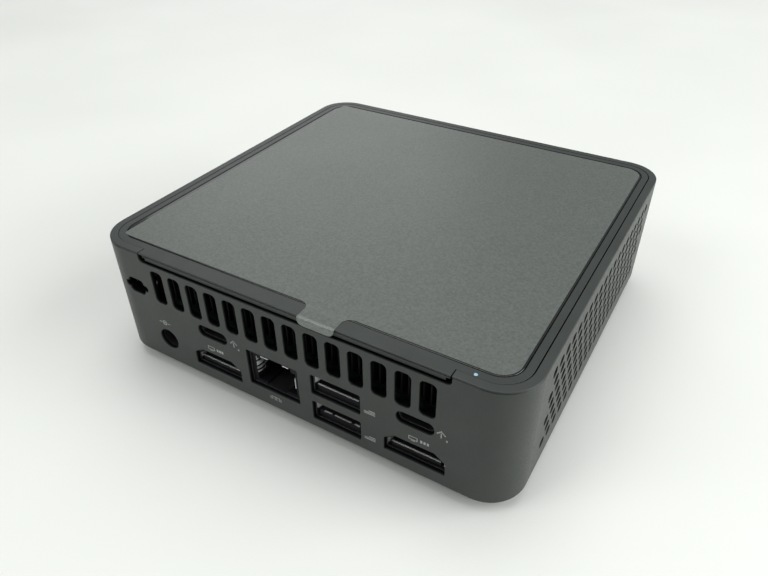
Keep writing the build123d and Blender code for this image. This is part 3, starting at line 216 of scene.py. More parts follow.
def outline_depth(tree, half_x, half_y, radius):
    """How far a point lies outside the case's rounded outline, in metres. It is below 0 inside."""
    place = tree.nodes.new("ShaderNodeTexCoord")
    axes = tree.nodes.new("ShaderNodeSeparateXYZ")
    tree.links.new(place.outputs["Object"], axes.inputs["Vector"])

    def worked(kind, first, second=None):
        step = tree.nodes.new("ShaderNodeMath")
        step.operation = kind
        for socket, value in zip(step.inputs, (first, second)):
            if isinstance(value, float):
                socket.default_value = value
            elif value is not None:
                tree.links.new(value, socket)
        return step.outputs["Value"]

    over_x = worked("SUBTRACT", worked("ABSOLUTE", axes.outputs["X"]), half_x - radius)
    over_y = worked("SUBTRACT", worked("ABSOLUTE", axes.outputs["Y"]), half_y - radius)
    out_x, out_y = worked("MAXIMUM", over_x, 0.0), worked("MAXIMUM", over_y, 0.0)
    squares = worked("ADD", worked("MULTIPLY", out_x, out_x), worked("MULTIPLY", out_y, out_y))
    inside = worked("MINIMUM", worked("MAXIMUM", over_x, over_y), 0.0)
    return worked("SUBTRACT", worked("ADD", worked("SQRT", squares), inside), radius)


def plastic_with_painted_opening_shade(name, half_x, half_y):
    """The case's plastic at the outline, with painted shade (near black, less shine) on faces further in.
    """
    material = plastic(name, case_colour, case_roughness, case_grain, grain_depth)
    tree = material.node_tree
    shader = tree.nodes["Principled BSDF"]
    depth = outline_depth(tree, half_x, half_y, case_corner)
    unshaded_share = between(tree, depth, 0.0, 1.0, opening_shade_full_depth, opening_shade_end_depth)
    # Painted shade: deeper than the outline the colour goes near black and the shine drops.
    shade_mix = tree.nodes.new("ShaderNodeMix")
    shade_mix.data_type = "RGBA"
    share, shade_tone, outer = (socket for socket in shade_mix.inputs if socket.enabled)
    mixed = next(socket for socket in shade_mix.outputs if socket.enabled)
    shade_tone.default_value = (*opening_shade_colour, 1)
    tree.links.new(unshaded_share, share)
    tree.links.new(shader.inputs["Base Color"].links[0].from_socket, outer)
    tree.links.new(mixed, shader.inputs["Base Color"])
    shine = between(tree, unshaded_share, opening_shade_shine, outline_shine, 0.0, 1.0)
    tree.links.new(shine, shader.inputs["Specular IOR Level"])
    return material


shell_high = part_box("chassis_shell")[1]
finish(plastic_with_painted_opening_shade("shell_plastic", shell_high.x, shell_high.y), "chassis_shell")

# ---- Lid ----
# The lid's frame is the same plastic as the case, a shade finer. The panel in it is polished black acrylic,
# with the faint long waves and hairline scuffs that a polished sheet has.
lid_plastic = plastic("lid_plastic", (0.034, 0.039, 0.036), 0.4, 0.18 * mm, 0.008 * mm)
finish(lid_plastic, "lid_frame")

panel_material, panel_nodes, panel_shader = new_material("polished_acrylic")
panel_tone = tint(panel_nodes, noise(panel_nodes, 30 * mm), (0.010, 0.011, 0.012), (0.014, 0.015, 0.016))
panel_nodes.links.new(panel_tone, panel_shader.inputs["Base Color"])
scuffs = noise(panel_nodes, 0.5 * mm, 2, (1, 0.04, 1))
panel_nodes.links.new(between(panel_nodes, scuffs, 0.06, 0.14), panel_shader.inputs["Roughness"])
relief(panel_nodes, panel_shader, noise(panel_nodes, 25 * mm), 0.01 * mm)
finish(panel_material, "gloss_panel")

# ---- Protective film ----
# A thin hazy sheet is stuck on the panel, cut a little smaller than it. Its pull tab flares out of the rear
# edge, runs over the lid's lip, bends and hangs down in front of the finger recess.
film_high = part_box("protective_film")[1]
panel_low, panel_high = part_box("gloss_panel")
film_thickness = 0.09 * mm
film_bottom = panel_high.z + 0.01 * mm
film_corner_left = 1.2 * mm
film_corner_right = 4.6 * mm
film_left = panel_high.x - 1.3 * mm
film_right = panel_low.x + 0.45 * mm
film_front = panel_low.y + 0.4 * mm
film_rear = panel_high.y - 0.35 * mm
tab_center = -10.8 * mm
tab_half = 4.8 * mm
tab_flare = 2.2 * mm
tab_corner = 1.5 * mm
tab_bend = 0.45 * mm
tab_over = film_high.y - tab_bend - film_thickness - film_rear
tab_hang = 1.45 * mm
tab_rows = 44
tab_columns = 14
tab_turn = math.radians(80)
tab_arch = 0.06 * mm           # the tab stands up a little between panel and lip
fold_lead = 0.25 * mm          # the second layer starts this far before the bend


def film_corner_points(x, y, radius, start):
    """A corner of the film, as points on a quarter circle about (x, y) from the angle start."""
    steps = 10
    angles = [math.radians(start + 90 * step / steps) for step in range(steps + 1)]
    return [(x + radius * math.cos(a), y + radius * math.sin(a)) for a in angles]


def tab_half_width(along, length):
    """Half of the tab's width at a distance along it, with flared root and rounded end."""
    if along < tab_flare:
        rest = 1 - along / tab_flare
        return tab_half + tab_flare * (1 - math.sqrt(1 - rest * rest))
    left = length - along
    if left < tab_corner:
        rest = 1 - left / tab_corner
        return tab_half - tab_corner * (1 - math.sqrt(max(0.0, 1 - rest * rest)))
    return tab_half


def tab_path(along):
    """Where the tab's lower face runs at a distance along it: flat, round the bend, then down."""
    if along < tab_over:
        return film_rear + along, film_bottom + tab_arch * math.sin(math.pi * along / tab_over)
    turn = min((along - tab_over) / tab_bend, tab_turn)
    down = max(0.0, along - tab_over - tab_bend * tab_turn)
    return (
        film_rear + tab_over + tab_bend * math.sin(turn) + down * math.cos(turn),
        film_bottom - tab_bend * (1 - math.cos(turn)) - down * math.sin(turn),
    )


def build_film(work):
    """The sheet as one face, joined to the tab's rows of faces at the root of the tab."""
    length = tab_over + tab_bend * tab_turn + tab_hang
    left, right = film_corner_left, film_corner_right
    sheet = film_corner_points(film_right + right, film_front + right, right, 180)
    sheet += film_corner_points(film_left - left, film_front + left, left, 270)
    sheet += film_corner_points(film_left - left, film_rear - left, left, 0)
    rear_points = film_corner_points(film_right + right, film_rear - right, right, 90)
    outline = [work.verts.new((x, y, film_bottom)) for x, y in sheet]
    rows = []
    for row in range(tab_rows + 1):
        along = length * row / tab_rows
        half = tab_half_width(along, length)
        y, z = tab_path(along)
        across = [tab_center + half * (2 * column / tab_columns - 1) for column in range(tab_columns + 1)]
        rows.append([work.verts.new((x, y, z)) for x in across])
    outline += list(reversed(rows[0]))
    outline += [work.verts.new((x, y, film_bottom)) for x, y in rear_points]
    work.faces.new(outline)
    for near, far in zip(rows, rows[1:]):
        for a, b, c, d in zip(near, near[1:], far[1:], far):
            work.faces.new((a, b, c, d))
    bmesh.ops.triangulate(work, faces=[face for face in work.faces if len(face.verts) > 4])
    bmesh.ops.recalc_face_normals(work, faces=work.faces)
    if sum(face.normal.z * face.calc_area() for face in work.faces) < 0:
        bmesh.ops.reverse_faces(work, faces=work.faces)


film = new_mesh("panel_film", build_film)
film_solid = film.modifiers.new("thickness", "SOLIDIFY")
film_solid.thickness = film_thickness
film_solid.offset = 1.0

film_material, film_nodes, film_shader = new_material("hazy_film")
speckle = noise(film_nodes, 0.55 * mm, 3)
cloud = noise(film_nodes, 30 * mm, 2)
film_tone = tint(film_nodes, speckle, (0.067, 0.077, 0.069), (0.108, 0.12, 0.109), 0.3, 0.7)
film_nodes.links.new(film_tone, film_shader.inputs["Base Color"])
film_nodes.links.new(between(film_nodes, cloud, 0.36, 0.4), film_shader.inputs["Roughness"])
film_shader.inputs["IOR"].default_value = 1.5
relief(film_nodes, film_shader, cloud, 0.05 * mm)
film.data.materials.append(film_material)

# The hanging end of the tab is two layers of the film, paler for that and made paler again as a painted
# highlight where it bends over the lip; it shows the creases of its bend.
tab_material, tab_nodes, tab_shader = new_material("folded_film")
scuff = noise(tab_nodes, 0.5 * mm, 4)
tab_layers_and_highlight_tone = tint(tab_nodes, scuff, (0.13, 0.142, 0.133), (0.22, 0.235, 0.225), 0.4, 0.8)
tab_nodes.links.new(tab_layers_and_highlight_tone, tab_shader.inputs["Base Color"])
tab_sheen = between(tab_nodes, noise(tab_nodes, 1.2 * mm), 0.25, 0.4)
tab_nodes.links.new(tab_sheen, tab_shader.inputs["Roughness"])
relief(tab_nodes, tab_shader, noise(tab_nodes, 0.7 * mm, 2, (0.12, 1, 1)), 0.06 * mm)
film.data.materials.append(tab_material)
fold_start = film_rear + tab_over - fold_lead
for face in film.data.polygons:
    if face.center.y > fold_start:
        face.material_index = 1
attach(film, "lid")
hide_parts("protective_film")

# ---- Status light ----
# A clear light pipe comes up through the lid's rear edge and ends flush in it. Its faint pale blue glow is
# a painted glint, a small blue dot of light on the rear edge.
light_material, light_nodes, light_shader = new_material("status_light_painted_glint")
painted_glint_tone = tint(light_nodes, noise(light_nodes, 0.3 * mm), (0.16, 0.3, 0.42), (0.4, 0.56, 0.66))
light_nodes.links.new(painted_glint_tone, light_shader.inputs["Base Color"])
light_nodes.links.new(painted_glint_tone, light_shader.inputs["Emission Color"])
light_shader.inputs["Emission Strength"].default_value = 0.18
light_shader.inputs["Roughness"].default_value = 0.2
finish(light_material, "status_light")


# ---- Plated steel: port shells, screws, pins, lock plate, coin cell ----
# Folded or turned steel with a bright nickel plate, drawn or rolled along one way, so its fine lines run
# along the case's depth.
def metal(name, colour, roughness, line=0.1 * mm, depth=0.002 * mm, edge=0.05 * mm, stretch=(1, 0.06, 1)):
    """Bare or plated metal with fine drawn lines and a slightly uneven polish."""
    material, tree, shader = new_material(name)
    tone = tint(tree, noise(tree, 3 * mm, 3), *shades(colour, 0.06))
    tree.links.new(tone, shader.inputs["Base Color"])
    shader.inputs["Metallic"].default_value = 1.0
    lines = noise(tree, line, 2, stretch)
    tree.links.new(between(tree, lines, roughness * 0.8, roughness * 1.25), shader.inputs["Roughness"])
    relief(tree, shader, lines, depth, edge)
    return material


nickel = metal("nickel_plate", (0.42, 0.43, 0.43), 0.28)
finish(
    nickel, "board_screws", "plate_screws", "fan_screws", "drive_screw", "drive_standoff",
    "cover_hinge_pins", "lock_plate", "fan_shaft", "coin_cell",
)
# The port shells are this plated steel too, given a near black tone as painted shade for the shade they lie
# in within the ports.
port_shell_painted_shade = metal("port_shell_painted_shade", (0.11, 0.112, 0.118), 0.42)
finish(port_shell_painted_shade, "usb_a_shells", "usb_c_shells", "video_shells", "network_jack_shield")

# ---- Engineering plastics inside ----
# Port bodies, sockets and the blower are black glass-filled nylon and PBT, a little shinier than the case.
black_nylon = plastic("black_nylon", (0.014, 0.014, 0.015), 0.4, 0.3 * mm, 0.01 * mm)
finish(
    black_nylon, "card_sockets", "memory_sockets", "port_carriers", "power_jack", "power_switch",
    "switch_plunger", "fan_housing", "fan_cover", "fan_impeller",
)
port_black = plastic("port_black", (0.006, 0.006, 0.008), 0.5, 0.2 * mm, 0.004 * mm, shine=0.15)
finish(port_black, "usb_a_tongues", "usb_c_tongues", "video_tongues", "network_jack_insert")

# ---- Cooling metals ----
# Copper cold plate, heat pipes and windings, brass bearing and inserts, gold plated contacts, and fins
# of aluminium sheet, painted near black as painted shade for the shade they sit in behind the vents.
finish(metal("bare_copper", (0.72, 0.36, 0.22), 0.32), "cold_plate", "heat_pipes", "fan_stator")
finish(metal("turned_brass", (0.7, 0.52, 0.24), 0.3), "bracket_inserts", "fan_bearing")
gold_plate = metal("gold_plate", (0.85, 0.62, 0.28), 0.22)
finish(gold_plate, "network_contacts", "power_jack_pin")
finish(metal("cooling_plate", (0.6, 0.61, 0.62), 0.35), "drive_cooling_plate")
finish(plastic("fins_painted_shade", (0.006, 0.006, 0.007), 0.6, 0.15 * mm, 0.004 * mm, shine=0.1), "fin_stack")


# ---- Springs and contacts in the ports ----
# Each USB and video shell has leaf springs cut out of its sides and roof, that grip the plug. The contacts
# are gold plated strips laid in the faces of the tongues, and a steel strip runs along the tongues' front
# edge. Places and sizes from here on are in millimetres, as in the CAD.
def add_block(work, low, high):
    """A closed block between two opposite corners, given in millimetres."""
    corners = [
        work.verts.new([(low, high)[(corner >> axis) & 1][axis] * mm for axis in range(3)])
        for corner in range(8)
    ]
    for face in ((0, 2, 3, 1), (4, 5, 7, 6), (0, 1, 5, 4), (2, 6, 7, 3), (0, 4, 6, 2), (1, 3, 7, 5)):
        work.faces.new([corners[index] for index in face])


def add_ribbon(work, path, side, half, thickness):
    """A bent strip along path, half to each side of it along side, in millimetres."""
    across = Vector(side).normalized() * half
    rows = []
    for index, point in enumerate(path):
        ahead = Vector(path[min(index + 1, len(path) - 1)]) - Vector(path[max(index - 1, 0)])
        lift = across.cross(ahead).normalized() * thickness / 2
        ring = (-across - lift, across - lift, across + lift, lift - across)
        rows.append([work.verts.new((Vector(point) + corner) * mm) for corner in ring])
    for near, far in zip(rows, rows[1:]):
        for a in range(4):
            b = (a + 1) % 4
            work.faces.new((near[a], near[b], far[b], far[a]))
    work.faces.new(list(reversed(rows[0])))
    work.faces.new(rows[-1])


def leaf(start, reach, bulge):
    """Path of a leaf spring from start, running reach and bulging out in the middle."""
    steps = 10
    path = []
    for step in range(steps + 1):
        share = step / steps
        path.append(Vector(start) + Vector(reach) * share + Vector(bulge) * math.sin(math.pi * share))
    return path


def piece(name, build, material, node_slot, body="chassis"):
    """A new piece from build(work), with its material and slot, riding on body."""
    made = new_mesh(name, build)
    made.data.materials.append(material)
    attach(made, body)
    return made


spring_sheet = 0.18
fine_spring_sheet = 0.16
port_face = 55.0
to_rear, to_front = 1, -1

usb_a_upper, usb_a_lower = 17.5, 9.1
usb_a_stack_x = -14.6
usb_a_places = [
    (usb_a_stack_x, usb_a_upper, to_rear), (usb_a_stack_x, usb_a_lower, to_rear),
    (-34.0, usb_a_upper, to_front), (-15.0, usb_a_upper, to_front),
]
usb_a_half_width = 6.3
usb_a_half_height = 2.55
usb_tongue_top = -0.5          # above the middle of the shell
usb_tongue_front = 54.6
usb_contact_columns = (-3.5, -1.0, 1.0, 3.5)
usb_contact_half = 0.5
contact_raise = 0.05


def build_usb_springs(work):
    for x, z, side in usb_a_places:
        for hand in (-1, 1):
            start = (x + hand * (usb_a_half_width - 0.1), side * (port_face - 0.2), z + 0.9)
            path = leaf(start, (0, -side * 6.0, 0), (-hand * 0.7, 0, 0))
            add_ribbon(work, path, (0, 0, 1), 1.1, spring_sheet)
            start = (x + hand * 3.0, side * (port_face - 0.4), z + usb_a_half_height - 0.1)
            path = leaf(start, (0, -side * 7.0, 0), (0, 0, -0.5))
            add_ribbon(work, path, (1, 0, 0), 1.0, spring_sheet)


def strip(work, x_range, y_range, z_range):
    """A block between ranges, whose y_range may run either way."""
    (left, right), (near, far), (low, high) = x_range, sorted(y_range), z_range
    add_block(work, (left, near, low), (right, far, high))


def build_usb_contacts(work):
    for x, z, side in usb_a_places:
        top = z + usb_tongue_top
        for column in usb_contact_columns:
            strip(
                work,
                (x + column - usb_contact_half, x + column + usb_contact_half),
                (side * (usb_tongue_front - 2.6), side * (usb_tongue_front - 8.5)),
                (top - contact_raise, top + contact_raise),
            )


# The springs and the tongues' edge strips are real, but their steel is far paler than the shells they
# belong to: a painted glint in their colour.
steel_with_painted_glint = metal("steel_with_painted_glint", (0.86, 0.87, 0.87), 0.5, 0.08 * mm, 0.001 * mm, 0.0)
piece("usb_a_springs", build_usb_springs, steel_with_painted_glint, "steel")
piece("usb_a_contacts", build_usb_contacts, gold_plate, "gold")

video_places = (21.85, -35.2)
video_tongue_top = 9.4
video_tongue_bottom = video_tongue_top - 1.2
video_tongue_front = 54.8
video_contact_back = 46.5
video_contact_front = video_tongue_front - 2.2
video_contact_half = 0.22
video_contact_pitch = 1.0
strip_back = 0.25              # how far a strip reaches behind and in front of the tongue's edge
strip_front = 0.06


def build_tongue_strips(work):
    heights = (video_tongue_top - contact_raise, video_tongue_top + contact_raise)
    for x in video_places:
        depths = (video_tongue_front - strip_back, video_tongue_front + strip_front)
        strip(work, (x - 6.1, x + 6.1), depths, heights)
    for x, z, side in usb_a_places:
        top = z + usb_tongue_top
        depths = (side * (usb_tongue_front - strip_back), side * (usb_tongue_front + strip_front))
        spans = ((-5.6, -4.2), (-3.2, 1.4), (2.2, 4.4)) if z == usb_a_lower else ((-5.6, 5.6),)
        for start, end in spans:
            strip(work, (x + start, x + end), depths, (top - contact_raise, top + contact_raise))


def build_video_contacts(work):
    upper = (video_tongue_top - 0.03, video_tongue_top + contact_raise)
    lower = (video_tongue_bottom - contact_raise, video_tongue_bottom + 0.03)
    for x in video_places:
        for row, count in ((upper, 10), (lower, 9)):
            for column in range(count):
                middle = x + (column - (count - 1) / 2) * video_contact_pitch
                across = (middle - video_contact_half, middle + video_contact_half)
                strip(work, across, (video_contact_back, video_contact_front), row)


def build_video_springs(work):
    for x in video_places:
        for hand in (-1, 1):
            path = leaf((x + hand * 7.1, port_face - 0.3, 9.0), (0, -6.0, 0), (-hand * 0.4, 0, 0))
            add_ribbon(work, path, (0, 0, 1), 0.7, fine_spring_sheet)
            path = leaf((x + hand * 2.6, port_face - 0.3, 12.1), (0, -6.0, 0), (0, 0, -0.4))
            add_ribbon(work, path, (1, 0, 0), 0.8, fine_spring_sheet)


piece("tongue_strips", build_tongue_strips, steel_with_painted_glint, "steel")
piece("video_contacts", build_video_contacts, gold_plate, "gold")
piece("video_springs", build_video_springs, steel_with_painted_glint, "steel")

usb_c_height = 19.55
usb_c_places = [(21.85, to_rear), (-35.2, to_rear), (2.0, to_front)]
usb_c_levels = (-0.37, 0.33)
usb_c_contact_half = 0.13
usb_c_contact_pitch = 0.5


def build_usb_c_contacts(work):
    for x, side in usb_c_places:
        for column in range(12):
            middle = x + (column - 5.5) * usb_c_contact_pitch
            across = (middle - usb_c_contact_half, middle + usb_c_contact_half)
            for level in usb_c_levels:
                low = usb_c_height + level
                strip(work, across, (side * 53.9, side * 49.5), (low, low + 0.04))


piece("usb_c_contacts", build_usb_c_contacts, gold_plate, "gold")

# ---- Network jack contacts and shield springs ----
# Eight gold plated wires come out of the insert's roof and are bent back and down into the cavity. The can
# has narrow springs folded in at the front, over the edge of the opening.
network_middle = 3.6
network_half_width = 5.75
network_roof = 16.75
network_can_roof = 17.85
network_wire_pitch = 1.02
network_wire_half = 0.22
network_wire_bend = ((52.5, 0.6), (51.6, 0.3), (49.5, -0.5), (47.5, -1.2), (45.5, -1.8), (43.5, -2.2))


def build_network_wires(work):
    for wire in range(8):
        x = network_middle + (wire - 3.5) * network_wire_pitch
        path = [(x, y, network_roof + rise) for y, rise in network_wire_bend]
        add_ribbon(work, path, (1, 0, 0), network_wire_half, 0.3)


network_wires = piece("network_wires", build_network_wires, gold_plate, "gold")
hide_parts("network_contacts")


def build_network_springs(work):
    for low, high in ((16.1, 17.3), (14.3, 15.5), (13.1, 13.7), (12.0, 12.4)):
        start = (network_middle + network_half_width, port_face - 0.2, (low + high) / 2)
        path = leaf(start, (-0.1, -3.0, 0), (-0.3, 0, 0))
        add_ribbon(work, path, (0, 0, 1), (high - low) / 2, fine_spring_sheet)
    for offset, half in ((3.2, 1.15), (-3.2, 0.9)):
        start = (network_middle + offset, port_face - 0.15, network_can_roof)
        add_ribbon(work, leaf(start, (0, -3.0, -0.1), (0, 0, -0.3)), (1, 0, 0), half, fine_spring_sheet)
    start = (network_middle - network_half_width, port_face - 0.3, 13.6)
    add_ribbon(work, leaf(start, (0.1, -3.0, 0), (0.3, 0, 0)), (0, 0, 1), 1.6, fine_spring_sheet)


# The can's springs take the same steel with painted glint, paler than the can they are folded from.
piece("network_springs", build_network_springs, steel_with_painted_glint, "steel")

# ---- Printed port marks ----
# Small pale signs printed on the rear wall beside the ports: a plug for power, a screen for video, an arrow
# for USB-C, linked boxes for the network and stacked bars for USB. They are pad printed ink, 0.03 mm thick.
mark_ink = plastic("pale_ink", (0.36, 0.38, 0.37), 0.5, 0.3 * mm, 0.004 * mm, 0.0, 0.12)
ink_low = 55.98
ink_high = 56.03


def ink_box(work, x0, z0, x1, z1):
    add_block(work, (min(x0, x1), ink_low, min(z0, z1)), (max(x0, x1), ink_high, max(z0, z1)))


def ink_ring(work, x, z, radius, width):
    """A printed ring about (x, z)."""
    steps = 20
    inner = radius - width
    section = ((inner, ink_low), (radius, ink_low), (radius, ink_high), (inner, ink_high))
    corners = []
    for step in range(steps):
        angle = 2 * math.pi * step / steps
        spot = Vector((math.cos(angle), 0, math.sin(angle)))
        corners.append([work.verts.new((Vector((x, y, z)) + spot * reach) * mm) for reach, y in section])
    for near, far in zip(corners, corners[1:] + corners[:1]):
        for a in range(4):
            b = (a + 1) % 4
            work.faces.new((near[a], far[a], far[b], near[b]))


def ink_frame(work, x, z, half_wide, half_high, line):
    """A printed hollow box about (x, z)."""
    ink_box(work, x - half_wide, z - half_high, x + half_wide, z - half_high + line)
    ink_box(work, x - half_wide, z + half_high - line, x + half_wide, z + half_high)
    ink_box(work, x - half_wide, z - half_high + line, x - half_wide + line, z + half_high - line)
    ink_box(work, x + half_wide - line, z - half_high + line, x + half_wide, z + half_high - line)


def power_mark(work, x, z):
    """A ring round a dot, between two short bars."""
    ink_ring(work, x, z, 0.75, 0.2)
    ink_box(work, x - 0.2, z - 0.2, x + 0.2, z + 0.2)
    ink_box(work, x + 1.0, z - 0.1, x + 1.9, z + 0.1)
    ink_box(work, x - 1.9, z - 0.1, x - 1.0, z + 0.1)


def video_mark(work, x, z):
    """A wide screen on a foot, beside three small tiles."""
    ink_frame(work, x + 1.3, z, 1.1, 0.55, 0.16)
    ink_box(work, x + 0.8, z - 0.85, x + 1.8, z - 0.7)
    for tile in range(3):
        ink_box(work, x - 0.5 - tile * 0.8, z - 0.4, x - 1.0 - tile * 0.8, z + 0.4)


def usb_c_mark(work, x, z):
    """An arrowhead with stepped sides over a stem, and a dot beside it."""
    for step in range(7):
        high = z - abs(step - 3) * 0.28
        ink_box(work, x + 1.05 - step * 0.3, high - 0.3, x + 0.75 - step * 0.3, high)
    ink_box(work, x - 0.12, z - 2.1, x + 0.12, z - 0.7)
    ink_box(work, x - 1.2, z - 2.65, x - 1.55, z - 2.15)


def network_mark(work, x, z):
    """Three boxes, joined by a line."""
    for offset in (-1.3, 0.0, 1.3):
        ink_frame(work, x + offset, z, 0.38, 0.38, 0.13)
    ink_box(work, x - 1.3, z + 0.55, x + 1.3, z + 0.68)


def usb_a_mark(work, x, z):
    """Two long bars under a short one."""
    ink_box(work, x + 2.9, z - 0.7, x, z - 0.5)
    ink_box(work, x + 2.9, z - 0.25, x, z - 0.05)
    ink_box(work, x + 1.7, z + 0.25, x, z + 0.45)


mark_places = (
    (power_mark, 39.0, 16.4),
    (video_mark, 21.9, 14.6), (video_mark, -36.2, 14.6),
    (usb_c_mark, 15.0, 20.6), (usb_c_mark, -41.5, 20.6),
    (network_mark, network_middle, 6.6),
    (usb_a_mark, -25.3, 16.8), (usb_a_mark, -25.3, 8.3),
)


def build_marks(work):
    for mark, x, z in mark_places:
        mark(work, x, z)


piece("port_marks", build_marks, mark_ink, "case_plastic")


# ---- Circuit boards ----
# Glass laminate under a green-black solder mask. Copper tracks show through it as slightly raised, lighter
# lines that run in steps.
def circuit_board(name, mask, track):
    """Solder mask over a pattern of tracks, about 10 mm long and 0.85 mm apart."""
    material, tree, shader = new_material(name)
    place = tree.nodes.new("ShaderNodeTexCoord")
    tracks = tree.nodes.new("ShaderNodeTexBrick")
    tracks.inputs["Scale"].default_value = 260.0
    tracks.inputs["Mortar Size"].default_value = 0.05
    tracks.inputs["Mortar Smooth"].default_value = 0.1
    tracks.inputs["Brick Width"].default_value = 2.6
    tracks.inputs["Row Height"].default_value = 0.22
    tree.links.new(place.outputs["Object"], tracks.inputs["Vector"])
    tree.links.new(tint(tree, tracks.outputs["Fac"], mask, track, 0.2, 0.8), shader.inputs["Base Color"])
    shader.inputs["Roughness"].default_value = 0.35
    shader.inputs["Coat Weight"].default_value = 0.3
    relief(tree, shader, tracks.outputs["Fac"], 0.02 * mm, 0.05 * mm)
    return material


solder_mask = circuit_board("solder_mask", (0.006, 0.014, 0.012), (0.018, 0.036, 0.03))
finish(solder_mask, "mainboard", "memory_modules", "drive_board", "wireless_card", "antennas")
package = plastic("chip_package", (0.022, 0.022, 0.024), 0.55, 0.12 * mm, 0.008 * mm)
finish(package, "processor", "board_chips", "memory_chips", "drive_chips", "inductors", "capacitors")

# ---- Gold edge fingers ----
# The memory, the drive and the wireless card plug into their sockets with rows of gold plated fingers along
# one edge. The fingers stand 0.03 mm proud of both faces of the memory and drive boards, and of the
# wireless card's upper face.
finger_thickness = 0.03
finger_pitch = 0.5
finger_half = 0.15
module_board = 1.2
module_depth = 30.0
module_key = (5.4, 8.6)        # the notch between the two groups of fingers
drive_key = (15.0, 17.2)       # the same on the drive, from the board's edge


def board_box(name):
    """The box of a CAD node, in millimetres."""
    return [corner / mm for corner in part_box(name)]


def finger_row(work, x_range, y_range, faces, along_y=False):
    """A row of fingers inside a rectangle, on each board face (z, outward side)."""
    start, end = y_range if along_y else x_range
    for finger in range(int((end - start) / finger_pitch)):
        middle = start + (finger + 0.5) * finger_pitch
        across = (middle - finger_half, middle + finger_half)
        (left, right), (front, back) = (x_range, across) if along_y else (across, y_range)
        for z, side in faces:
            low, high = sorted((z, z + side * finger_thickness))
            add_block(work, (left, front, low), (right, back, high))


module_low, module_high = board_box("memory_modules")
drive_low, drive_high = board_box("drive_board")
card_low, card_high = board_box("wireless_card")


def build_fingers(work):
    upper_faces = ((module_high.z - module_board, -1), (module_high.z, 1))
    lower_faces = ((module_low.z, -1), (module_low.z + module_board, 1))
    for front, faces in ((module_high.y - module_depth, upper_faces), (module_low.y, lower_faces)):
        for x_range in ((module_low.x + 1.5, module_key[0]), (module_key[1], module_high.x - 1.5)):
            finger_row(work, x_range, (front + 0.2, front + 2.6), faces)
    drive_faces = ((drive_low.z, -1), (drive_high.z, 1))
    drive_edge = (drive_low.x + 0.3, drive_low.x + 3.2)
    finger_row(work, drive_edge, (drive_low.y + 1.0, drive_low.y + drive_key[0]), drive_faces, True)
    finger_row(work, drive_edge, (drive_low.y + drive_key[1], drive_high.y - 1.0), drive_faces, True)
    card_edge = (card_low.x + 0.3, card_low.x + 3.0)
    finger_row(work, card_edge, (card_low.y + 1.0, card_high.y - 1.0), ((card_high.z, 1),), True)


piece("edge_fingers", build_fingers, gold_plate, "gold")

# ---- Small parts soldered on the boards ----
# Ceramic capacitors and resistors between 0.6 and 1.6 mm long, with tinned ends. They stand in loose
# rows round the big parts, as a placing machine sets them.
board_low, board_high = board_box("mainboard")
ceramic = plastic("ceramic", (0.24, 0.17, 0.11), 0.5, 0.2 * mm, 0.003 * mm)
tinned = metal("tinned_ends", (0.6, 0.61, 0.6), 0.4, 0.08 * mm, 0.001 * mm, 0.0)
placer = random.Random(7)
cell_low, cell_high = board_box("coin_cell")
taken = [
    (module_low.x - 3.5, module_low.y - 3.5, module_high.x + 3.5, module_high.y + 0.5),
    (drive_low.x - 6.0, drive_low.y - 1.5, drive_high.x + 4.0, drive_high.y + 1.5),
    (cell_low.x - 0.5, cell_low.y - 0.5, cell_high.x + 0.5, cell_high.y + 0.5),
    (-45.0, 35.0, 47.0, 55.0), (-47.0, -55.0, 50.0, -39.5),     # rear and front ports
    (-46.8, -17.5, -36.8, -6.5), (41.5, -24.5, 50.0, -5.5),     # the mainboard's own chips
]
post_spots = [(x, y) for x in (-47.8, 47.8) for y in (-48.8, 48.8)]
post_reach = 4.5
board_margin = 1.5
column_pitch = 0.9
row_pitch = 1.3
smallest = 0.6


def is_free(x, y, reach):
    """Whether a small part fits at (x, y) on the underside of the mainboard."""
    inside_x = board_low.x + board_margin < x < board_high.x - board_margin
    inside_y = board_low.y + board_margin < y < board_high.y - board_margin
    if not (inside_x and inside_y):
        return False
    if any(math.hypot(x - px, y - py) < post_reach for px, py in post_spots):
        return False
    return all(x + reach < a or x - reach > c or y + reach < b or y - reach > d for a, b, c, d in taken)


def is_apart(x, y, across, along):
    """Whether (x, y) keeps those distances from every small part so far."""
    return all(abs(x - other[0]) > across or abs(y - other[1]) > along for other in small_parts)


small_parts = []
for attempt in range(1400):
    x = placer.uniform(board_low.x, board_high.x)
    y = placer.uniform(board_low.y, board_high.y)
    x, y = round(x / column_pitch) * column_pitch, round(y / row_pitch) * row_pitch
    size = placer.choice((smallest, smallest, 1.0, 1.0, 1.6))
    turned = placer.random() < 0.35
    if is_free(x, y, 1.2) and is_apart(x, y, 1.7, 1.2):
        small_parts.append((x, y, size, turned, board_low.z))
for attempt in range(130):
    x = drive_low.x + 12.0 + placer.random() * 62.0
    y = drive_low.y + 1.0 + (0.0 if placer.random() < 0.5 else 18.5) + placer.random() * 1.2
    if is_apart(x, y, 1.3, 1.3):
        small_parts.append((x, y, smallest, False, drive_low.z))
for attempt in range(90):
    x = module_low.x + 2.0 + placer.random() * 65.0
    y = module_low.y + 4.2 + placer.random() * 6.0
    if is_apart(x, y, 1.4, 1.2):
        small_parts.append((x, y, smallest, False, module_low.z))


def part_block(work, spot, start, end, width, height):
    """One small part from start to end of its length. All measures are shares of that length."""
    x, y, size, turned, top = spot
    half = size * width / 2
    low = top - size * height
    if turned:
        add_block(work, (x - half, y + size * start, low), (x + half, y + size * end, top))
    else:
        add_block(work, (x + size * start, y - half, low), (x + size * end, y + half, top))


def build_bodies(work):
    for spot in small_parts:
        part_block(work, spot, -0.3, 0.3, 0.52, 0.42)


def build_ends(work):
    for spot in small_parts:
        for start, end in ((-0.5, -0.3), (0.3, 0.5)):
            part_block(work, spot, start, end, 0.55, 0.44)


piece("small_part_bodies", build_bodies, ceramic, "chips")
piece("small_part_ends", build_ends, tinned, "steel")

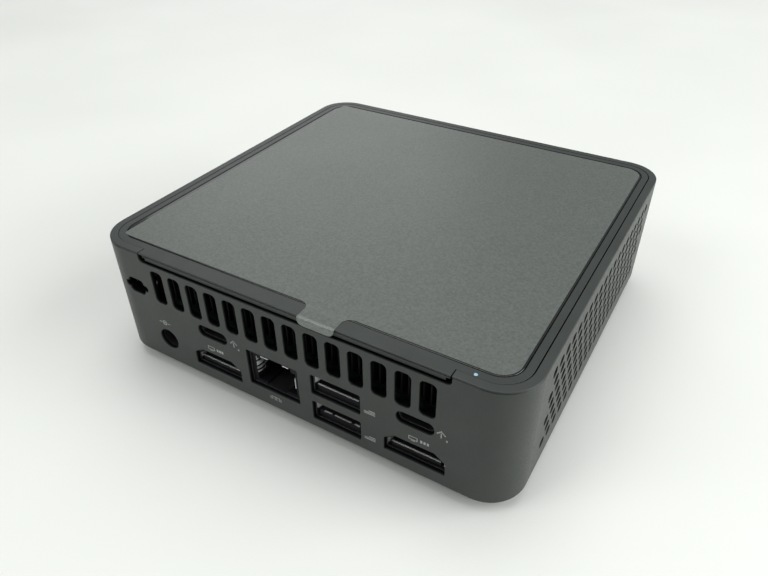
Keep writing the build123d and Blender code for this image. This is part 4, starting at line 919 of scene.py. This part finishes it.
# ---- Shield can and blank label ----
# A pressed can covers the wireless card, with a row of dimples along two sides. A plain paper label,
# without any print, is stuck over the drive's chips.
can_half_width = 9.8
can_half_depth = 8.3
dimple_rows = (-7.6, 7.6)
dimple_pitch = 2.0


def build_can(work):
    x, y = (card_low.x + card_high.x) / 2, (card_low.y + card_high.y) / 2
    low = card_low.z
    add_block(
        work,
        (x - can_half_width, y - can_half_depth, low - 0.12),
        (x + can_half_width, y + can_half_depth, low + 0.02),
    )
    for step in range(-4, 5):
        middle = x + step * dimple_pitch
        for row in dimple_rows:
            near, far = y + row - 0.25, y + row + 0.25
            add_block(work, (middle - 0.35, near, low - 0.2), (middle + 0.35, far, low - 0.1))


piece("card_shield", build_can, tinned, "steel")

label_paper = plastic("blank_label", (0.5, 0.5, 0.48), 0.7, 0.15 * mm, 0.004 * mm, 0.0, 0.04)
chip_low, chip_high = board_box("drive_chips")


def build_label(work):
    add_block(work, (chip_low.x + 14.0, chip_low.y + 1.5, chip_low.z - 0.08),
              (chip_high.x - 3.0, chip_high.y - 1.5, chip_low.z - 0.01))


piece("drive_label", build_label, label_paper, "pad")

# ---- Bottom cover, latch, feet and pad ----
# The cover and its latch are moulded in the case's plastic with a coarser grain, the feet are soft rubber
# stuck in place, and the pad under the drive is grey-blue silicone.
cover_plastic = plastic("cover_plastic", (0.036, 0.039, 0.038), 0.5, 0.35 * mm, 0.02 * mm)
finish(cover_plastic, "bottom_cover", "cover_latch")
finish(plastic("foot_rubber", (0.018, 0.018, 0.018), 0.8, 0.5 * mm, 0.03 * mm), "rubber_feet")
finish(plastic("silicone_pad", (0.3, 0.36, 0.44), 0.7, 0.6 * mm, 0.03 * mm), "thermal_pad")

# ---- Power button and its lights ----
# A satin button in a milky ring that spreads the light of two small lamps behind it.
finish(plastic("button_plastic", (0.03, 0.032, 0.032), 0.25, 0.12 * mm, 0.003 * mm), "power_button")
milky = plastic("milky_light_pipe", (0.62, 0.66, 0.68), 0.3, 0.4 * mm, 0.004 * mm)
finish(milky, "button_light_ring", "activity_light")
